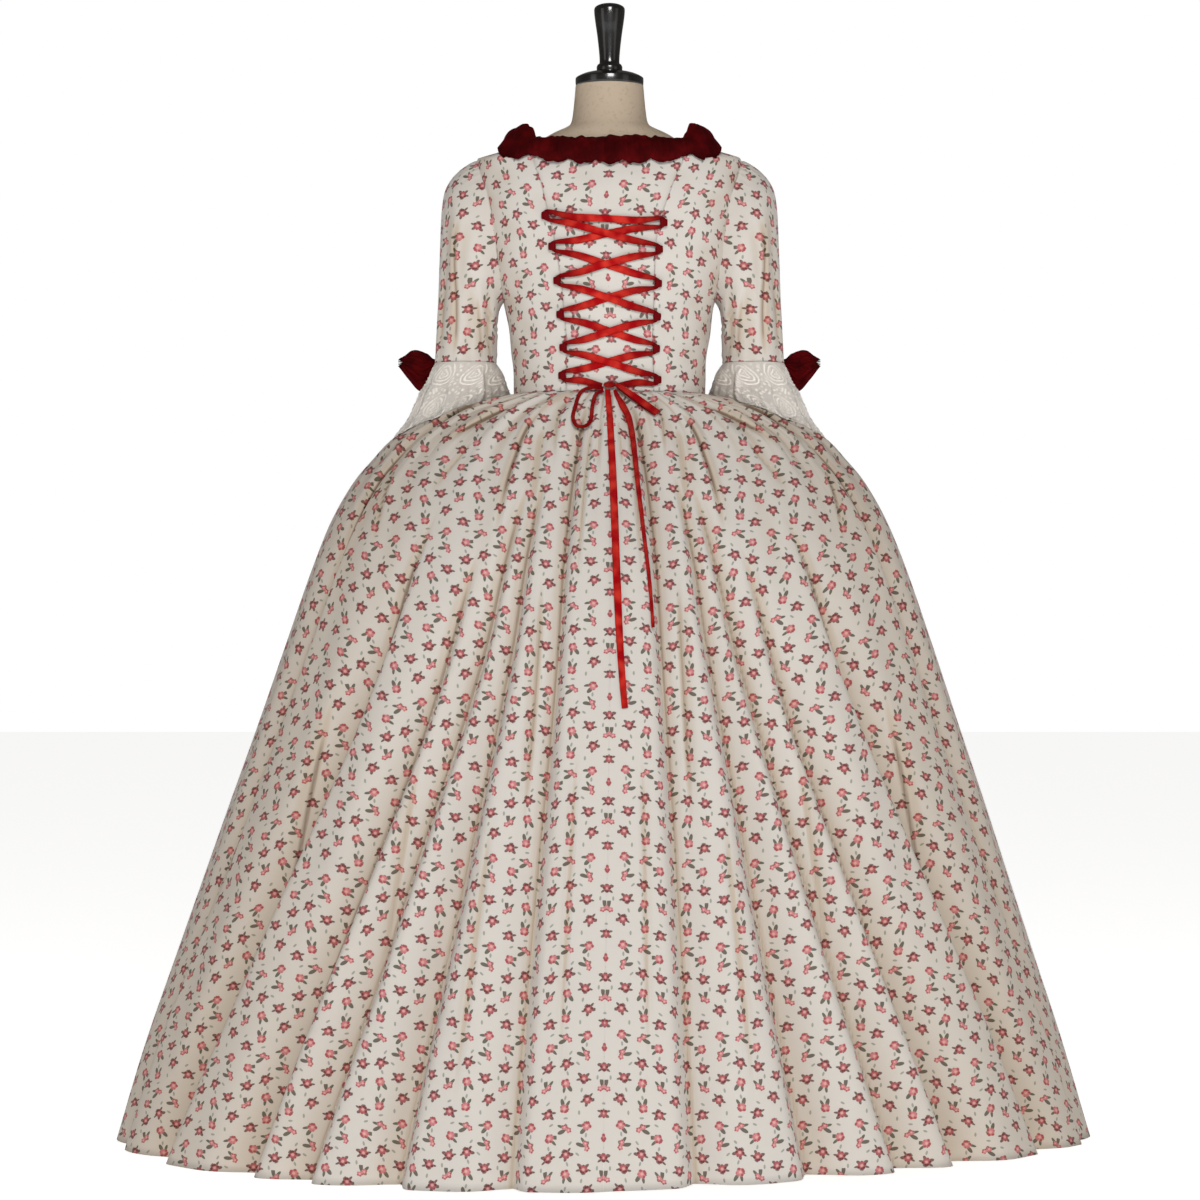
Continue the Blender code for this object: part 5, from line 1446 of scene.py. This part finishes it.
def lacing_loop(number, side_name):
    turn, height = loop_place(number, side_name)
    centre, out = on_torso(turn, height, LOOP_OUT), torso_normal(turn, height)
    across = unit(np.array((-out[1], out[0], 0.0)))
    up = np.cross(out, across)
    ring, spin = np.meshgrid(np.linspace(0, FULL_TURN, 41), np.linspace(0, FULL_TURN, 15),
                             indexing="ij")
    ring, spin = ring[..., None], spin[..., None]
    spoke = across * LOOP_WIDE * np.cos(ring) + out * LOOP_DEEP * np.sin(ring)
    away = unit(across * LOOP_DEEP * np.cos(ring) + out * LOOP_WIDE * np.sin(ring))
    rub = 1 + 0.12 * np.cos(3 * spin + 14 * ring)
    towards_lace = -np.cos(ring) if side_name == "right" else np.cos(ring)
    grid = centre + spoke + away * np.cos(spin) * LOOP_CORD * 0.7 * rub \
        + up * np.sin(spin) * LOOP_BAND * (0.84 + 0.16 * towards_lace) * rub
    uv = np.concatenate([ring * LOOP_WIDE, spin * LOOP_CORD], axis=-1)
    name = f"lacing_loop_{side_name}_{number + 1}"
    faces = grid_faces(*grid.shape[:2])[:, ::-1]
    # Painted light: the velvet of the loop is made lighter all over.
    piece = link_mesh(name + "_cord", grid.reshape(-1, 3), faces, [VELVET],
                      uv.reshape(-1, 2), {"painted_light": np.ones(grid.shape[:2])}, weld=True)
    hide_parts(name)


for side_name, heights in LOOP_HEIGHTS.items():
    for number in range(len(heights)):
        lacing_loop(number, side_name)
print("lacing loops:", sum(len(heights) for heights in LOOP_HEIGHTS.values()))

# %% The lacing ribbon
RIBBON_WIDE, RIBBON_BUNCHED = 0.0100, 0.0050
KNOT_HEIGHT, KNOT_OUT, LACE_END_OUT = 1.054, 0.0055, 0.0035


def lacing_path():
    """Turn, height, distance off the cloth, width and shade, from the knot all round."""
    upward = [(5, "left"), (4, "right"), (3, "left"), (2, "right"), (1, "left"), (0, "right")]
    downward = [(0, "left"), (1, "right"), (2, "left"), (3, "right"), (4, "left"), (5, "right")]
    stops = upward + downward
    turn_scale = float(laced_turn(KNOT_HEIGHT, "left")) \
        / float(LACED_EDGES.at(KNOT_HEIGHT, "left"))
    stations = [(-0.0085 * turn_scale, KNOT_HEIGHT - 0.001, LACE_END_OUT, 0.006, 0.8)]
    for order, (number, side_name) in enumerate(stops):
        turn, height = loop_place(number, side_name)
        rising = order < len(upward)
        if order:
            before_turn, before_height = loop_place(*stops[order - 1])
            for share, shade in ((0.25, 0.30), (0.5, 0.05), (0.75, 0.45)):
                stations.append((before_turn + (turn - before_turn) * share,
                                 before_height + (height - before_height) * share,
                                 0.0006 if rising else 0.0023, RIBBON_WIDE, shade))
        else:
            stations.append((turn * 0.55, height + (KNOT_HEIGHT - height) * 0.55, 0.0012,
                             RIBBON_WIDE, 0.4))
        bend = -math.copysign(1.5, turn)
        climb = 0.0058 if rising else -0.0058
        for rise, shift in ((-climb, bend), (0.0, 0.0), (climb, bend)):
            stations.append((turn + shift, height + rise, LOOP_OUT, RIBBON_BUNCHED, 0.85))
    turn, height = loop_place(*stops[-1])
    stations.append((turn * 0.55, height + (KNOT_HEIGHT - height) * 0.55, 0.0012,
                     RIBBON_WIDE, 0.5))
    stations.append((0.0085 * turn_scale, KNOT_HEIGHT - 0.001, LACE_END_OUT, 0.006, 0.8))
    return np.array(stations)


stations = lacing_path()
corners = on_torso(stations[:, 0], stations[:, 1], stations[:, 2])
path = smooth_line(corners, 5)
facing = unit(smooth_line(torso_normal(stations[:, 0], stations[:, 1]), 5))
widths = smooth_line(stations[:, 3], 5)
ribbon("lace_ribbon_satin", path, facing, widths, "lace_ribbon",
       shade=smooth_line(stations[:, 4], 5))

# %% The bow and its hanging ends
TAIL_WIDE, SKIRT_REACH = 0.0100, 0.0055
LONG_TAIL = (
    (-0.0030, 1.0475, 0.004), (-0.0020, 1.0350, 0.001), (0.0005, 1.0000, -0.0007),
    (0.0035, 0.9400, -0.0007), (0.0060, 0.8750, -0.0007), (0.0090, 0.7900, -0.0007),
    (0.0130, 0.7000, -0.0007), (0.0190, 0.6180, -0.0007))
SHORT_TAIL = (
    (0.0064, 1.0470, 0.003), (0.0105, 1.0370, 0.001), (0.0170, 1.0250, 0.0),
    (0.0262, 1.0050, 0.0), (0.0320, 0.9700, 0.0), (0.0375, 0.9150, 0.0),
    (0.0440, 0.8560, 0.0), (0.0520, 0.7850, 0.0), (0.0565, 0.7230, 0.0))
LOOP_LEFT = (
    (-0.0085, 1.0490, 0.003), (-0.0250, 1.0500, 0.004), (-0.0400, 1.0430, 0.004),
    (-0.0480, 1.0190, 0.003), (-0.0500, 1.0060, 0.003), (-0.0450, 0.9960, 0.003),
    (-0.0340, 0.9950, 0.003), (-0.0262, 1.0030, 0.003), (-0.0235, 1.0240, 0.004),
    (-0.0190, 1.0400, 0.005), (-0.0085, 1.0455, 0.006))
LOOP_RIGHT_END = (0.0620, 1.0150)


def skirt_route(route, per_span):
    x, height, extra = np.array(route).T
    return smooth_line(points_of(x, skirt_back(x, height) - SKIRT_REACH - extra, height),
                       per_span)


knot_y = float(on_torso(0.0, KNOT_HEIGHT, KNOT_OUT)[1])
knot("bow_knot_satin", np.array((0.0, knot_y, KNOT_HEIGHT)), (0.0088, 0.0044, 0.0042),
     SATIN, 7, "bow_knot", {"shade": 0.72})

TAILS = (("long", LONG_TAIL, (0.0, -1.0, 0.35), (0.0072, 0.0086, 0.0100, 0.0100, 0.0080), 0.18),
         ("short", SHORT_TAIL, (-0.6, -0.8, 0.3), (0.0040, 0.0098, 0.0088, 0.0062, 0.0050), 0.40))
for tail_name, route, facing, taper, shade in TAILS:
    path = skirt_route(route, 10)
    widths = np.interp(np.linspace(0, 4, len(path)), range(5), taper)
    directions = np.broadcast_to(np.array(facing), path.shape)
    tail, length = ribbon(f"ribbon_tail_{tail_name}_satin", path, directions,
                          widths, f"ribbon_tail_{tail_name}", ripple=0.0004, shade=shade)

path = skirt_route(LOOP_LEFT, 8)
ribbon("bow_loop_left_satin", path, np.broadcast_to(np.array((0.0, -1.0, 0.6)), path.shape),
       np.full(len(path), 0.0054), "bow_loop_left", shade=0.75)

start = np.array((0.0086, knot_y - 0.0020, KNOT_HEIGHT + 0.0005))
end = np.array((LOOP_RIGHT_END[0],
                float(skirt_back(*LOOP_RIGHT_END)) - 0.0110, LOOP_RIGHT_END[1]))
out, run = unit(np.array((0.0, -1.0, 0.6))), unit(end - start)
fold = 0.0014
corners = [start - out * fold, start + (end - start) * 0.5 - out * fold * 1.5,
           end - out * fold, end + run * fold, end + out * fold,
           start + (end - start) * 0.5 + out * fold * 1.5, start + out * fold]
facing = unit(smooth_line([-out, -out, run - out, run, run + out, out, out], 6))
ribbon("bow_loop_right_satin", smooth_line(corners, 6), facing,
       smooth_line([0.0060, 0.0100, 0.0105, 0.0105, 0.0105, 0.0100, 0.0060], 6),
       "bow_loop_right", shade=smooth_line([0.3, 0.3, 0.5, 0.8, 0.5, 0.3, 0.3], 6))

# %% [markdown]
# The dress form is a padded torso in a beige linen cover, with a glossy black cap and
# finial. What shows of it is the neck and the upper chest. It is made from the same rings
# as its solid, with more of them, so that its outline is round. The stand's pole and foot
# are turned parts.

# %% The dress form
FORM_CLEARANCE, SIDE_CLEARANCE = 0.0042, 0.0040
BODICE_ROWS = (WAIST + GAP, 1.080, 1.125, 1.185, 1.205, 1.240, BUST_EDGE,
               1.320, 1.350, SHOULDER)
HIPS = Profile(
    ("height", "side", "back", "front"),
    ((0.8000, 0.1480, 0.1050, 0.1000),
     (0.8300, 0.1580, 0.1120, 0.1060),
     (0.8900, 0.1600, 0.1150, 0.1090),
     (0.9500, 0.1520, 0.1100, 0.1070),
     (1.0000, 0.1380, 0.0980, 0.1040),
     (1.0300, 0.1310, 0.0895, 0.1020)))
NECK = Profile(
    ("height", "side", "back", "front"),
    ((1.3790, 0.1470, 0.0735, 0.0620),
     (1.3830, 0.1310, 0.0705, 0.0570),
     (1.3880, 0.1150, 0.0670, 0.0535),
     (1.4020, 0.0950, 0.0620, 0.0525),
     (1.4114, 0.0790, 0.0590, 0.0520),
     (1.4190, 0.0620, 0.0555, 0.0510),
     (1.4260, 0.0540, 0.0525, 0.0500),
     (1.4450, 0.0505, 0.0495, 0.0485),
     (1.4780, 0.0475, 0.0475, 0.0475)))


def form_ring(height, turns):
    if WAIST < height <= SHOULDER:
        side = SIDE_CLEARANCE * np.sin(np.radians(turns)) ** 4
        return on_torso(turns, np.full(turns.shape, height), -FORM_CLEARANCE - side)
    table = HIPS if height < WAIST else NECK
    squareness = BODY_SQUARENESS + (2 - BODY_SQUARENESS) * smoothstep(SHOULDER, 1.45, height)
    x, y = rounded_section(turns, table.at(height, "side"), table.at(height, "back"),
                           table.at(height, "front"), squareness)
    return points_of(x, y, height)


def closed_rings(name, grid, uv, material, sharp=None):
    """A solid from rings, closed by a flat face at each end."""
    rows, columns = grid.shape[:2]
    faces = [tuple(face) for face in grid_faces(rows, columns)]
    faces += [tuple(range(columns - 1))[::-1],
              tuple((rows - 1) * columns + k for k in range(columns - 1))]
    return link_mesh(name, grid.reshape(-1, 3), faces, [material], uv.reshape(-1, 2),
                     weld=True, sharp=sharp)


turns = np.linspace(0.0, 360.0, 121)
ring_heights = [*HIPS.stations, *BODICE_ROWS, *NECK.stations]
rings = refine(np.array([form_ring(height, turns) for height in ring_heights]), 4)
rings[:, -1] = rings[:, 0]
uv = np.stack(np.broadcast_arrays(turns * 0.0009, column_distance(rings)[:, :1]), axis=-1)
form = closed_rings("form_torso_linen", rings, uv, LINEN, sharp=60)
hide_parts("form_torso")


def turned(name, profile, material, node, slot, sides=96, per_span=1, sharp=35):
    radius, height = refine(np.array(profile), per_span).T
    angle = np.linspace(0, FULL_TURN, sides + 1)
    grid = points_of(radius[:, None] * np.cos(angle), radius[:, None] * np.sin(angle),
                     height[:, None])
    uv = np.stack(np.broadcast_arrays(angle[None, :] * 0.05, height[:, None]), axis=-1)
    piece = closed_rings(name, grid, uv, material, sharp)
    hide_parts(node)
    return piece


neck_top = float(NECK.stations[-1])
cap_top = neck_top + 0.0214 + GAP
turned("form_neck_cap_gloss",
       ((0.0460, neck_top + GAP), (0.0472, neck_top + 0.0015), (0.0476, neck_top + 0.0090),
        (0.0462, neck_top + 0.0122), (0.0360, neck_top + 0.0170), (0.0210, neck_top + 0.0205),
        (0.0080, neck_top + 0.0214)), LACQUER, "form_neck_cap", "black_lacquer", per_span=5)
turned("form_finial_gloss",
       ((0.0178, cap_top), (0.0180, cap_top + 0.0050), (0.0165, cap_top + 0.0085),
        (0.0140, cap_top + 0.0110), (0.0145, cap_top + 0.0250), (0.0170, cap_top + 0.0480),
        (0.0200, cap_top + 0.0690), (0.0214, cap_top + 0.0820), (0.0205, cap_top + 0.0885),
        (0.0140, cap_top + 0.0925), (0.0040, cap_top + 0.0945)),
       LACQUER, "form_finial", "black_lacquer", per_span=5)
turned("form_foot_gloss",
       ((0.166, 0.0), (0.1695, 0.0015), (0.170, 0.004), (0.170, 0.010), (0.168, 0.0135),
        (0.158, 0.016), (0.040, 0.019), (0.022, 0.020)),
       LACQUER, "form_foot", "black_lacquer")
turned("form_pole_steel", ((0.016, 0.020 + GAP), (0.016, 0.80 - GAP)), STEEL, "form_pole",
       "steel")
print("pieces:", len(ALL_PIECES), "triangles:",
      sum(len(p.vertices) - 2 for o in ALL_PIECES for p in o.data.polygons))

# %% [markdown]
# The picture was taken in front of white paper in soft studio light: one wide light in
# front, a little above, and weaker light from both sides. The room is white to the eye,
# but it lights the gown with less than half of that, so that the folds keep their shade.
# The floor is plain and pale. Standard colours keep the reds of the velvet and the ribbon
# as deep as they are; a filmic curve would wash them out.

# %% Floor and lights
def floor():
    finish = Finish("pale floor", Roughness=0.9, Specular_IOR_Level=0.1)
    speck = finish.noise(3.0, 2.0, "Object")
    finish.colour(finish.mix((0.93, 0.93, 0.925), (0.90, 0.90, 0.895), speck))
    finish.shader.inputs["Emission Color"].default_value = (1.0, 1.0, 1.0, 1.0)
    finish.shader.inputs["Emission Strength"].default_value = 0.83
    mesh = bpy.data.meshes.new("floor")
    reach = 14.0
    mesh.from_pydata([(-reach, -reach, 0), (reach, -reach, 0), (reach, reach, 0),
                      (-reach, reach, 0)], [], [(0, 1, 2, 3)])
    mesh.materials.append(finish.material)
    plane = bpy.data.objects.new("floor", mesh)
    bpy.context.scene.collection.objects.link(plane)


def soft_light(name, place, target, size, power):
    data = bpy.data.lights.new(name, "AREA")
    data.size, data.energy = size, power
    light = bpy.data.objects.new(name, data)
    light.location = place
    light.rotation_euler = (Vector(target) - Vector(place)).to_track_quat("-Z", "Y").to_euler()
    bpy.context.scene.collection.objects.link(light)


floor()
bpy.context.scene.view_settings.view_transform = "Standard"


def white_room(seen, shed):
    """A world that looks white, and sheds a weaker, warmer light of its own."""
    world = bpy.data.worlds.new("white room")
    world.use_nodes = True
    tree = world.node_tree
    paper = tree.nodes["Background"]
    ray = tree.nodes.new("ShaderNodeLightPath")
    tone = tree.nodes.new("ShaderNodeMix")
    tone.data_type = "RGBA"
    tone.inputs[6].default_value = (1.0, 0.95, 0.89, 1.0)
    tone.inputs[7].default_value = (1.0, 1.0, 1.0, 1.0)
    tree.links.new(ray.outputs["Is Camera Ray"], tone.inputs[0])
    tree.links.new(tone.outputs[2], paper.inputs["Color"])
    strength = tree.nodes.new("ShaderNodeMapRange")
    strength.inputs["To Min"].default_value = shed
    strength.inputs["To Max"].default_value = seen
    tree.links.new(ray.outputs["Is Camera Ray"], strength.inputs["Value"])
    tree.links.new(strength.outputs["Result"], paper.inputs["Strength"])
    bpy.context.scene.world = world


white_room(seen=1.0, shed=0.105)
middle = (0.0, 0.0, 0.75)
soft_light("front light", (0.3, -4.3, 2.7), middle, 1.5, 131)
soft_light("left light", (-3.2, -2.2, 1.6), middle, 1.4, 5)
soft_light("right light", (3.2, -2.2, 1.6), middle, 1.4, 3)
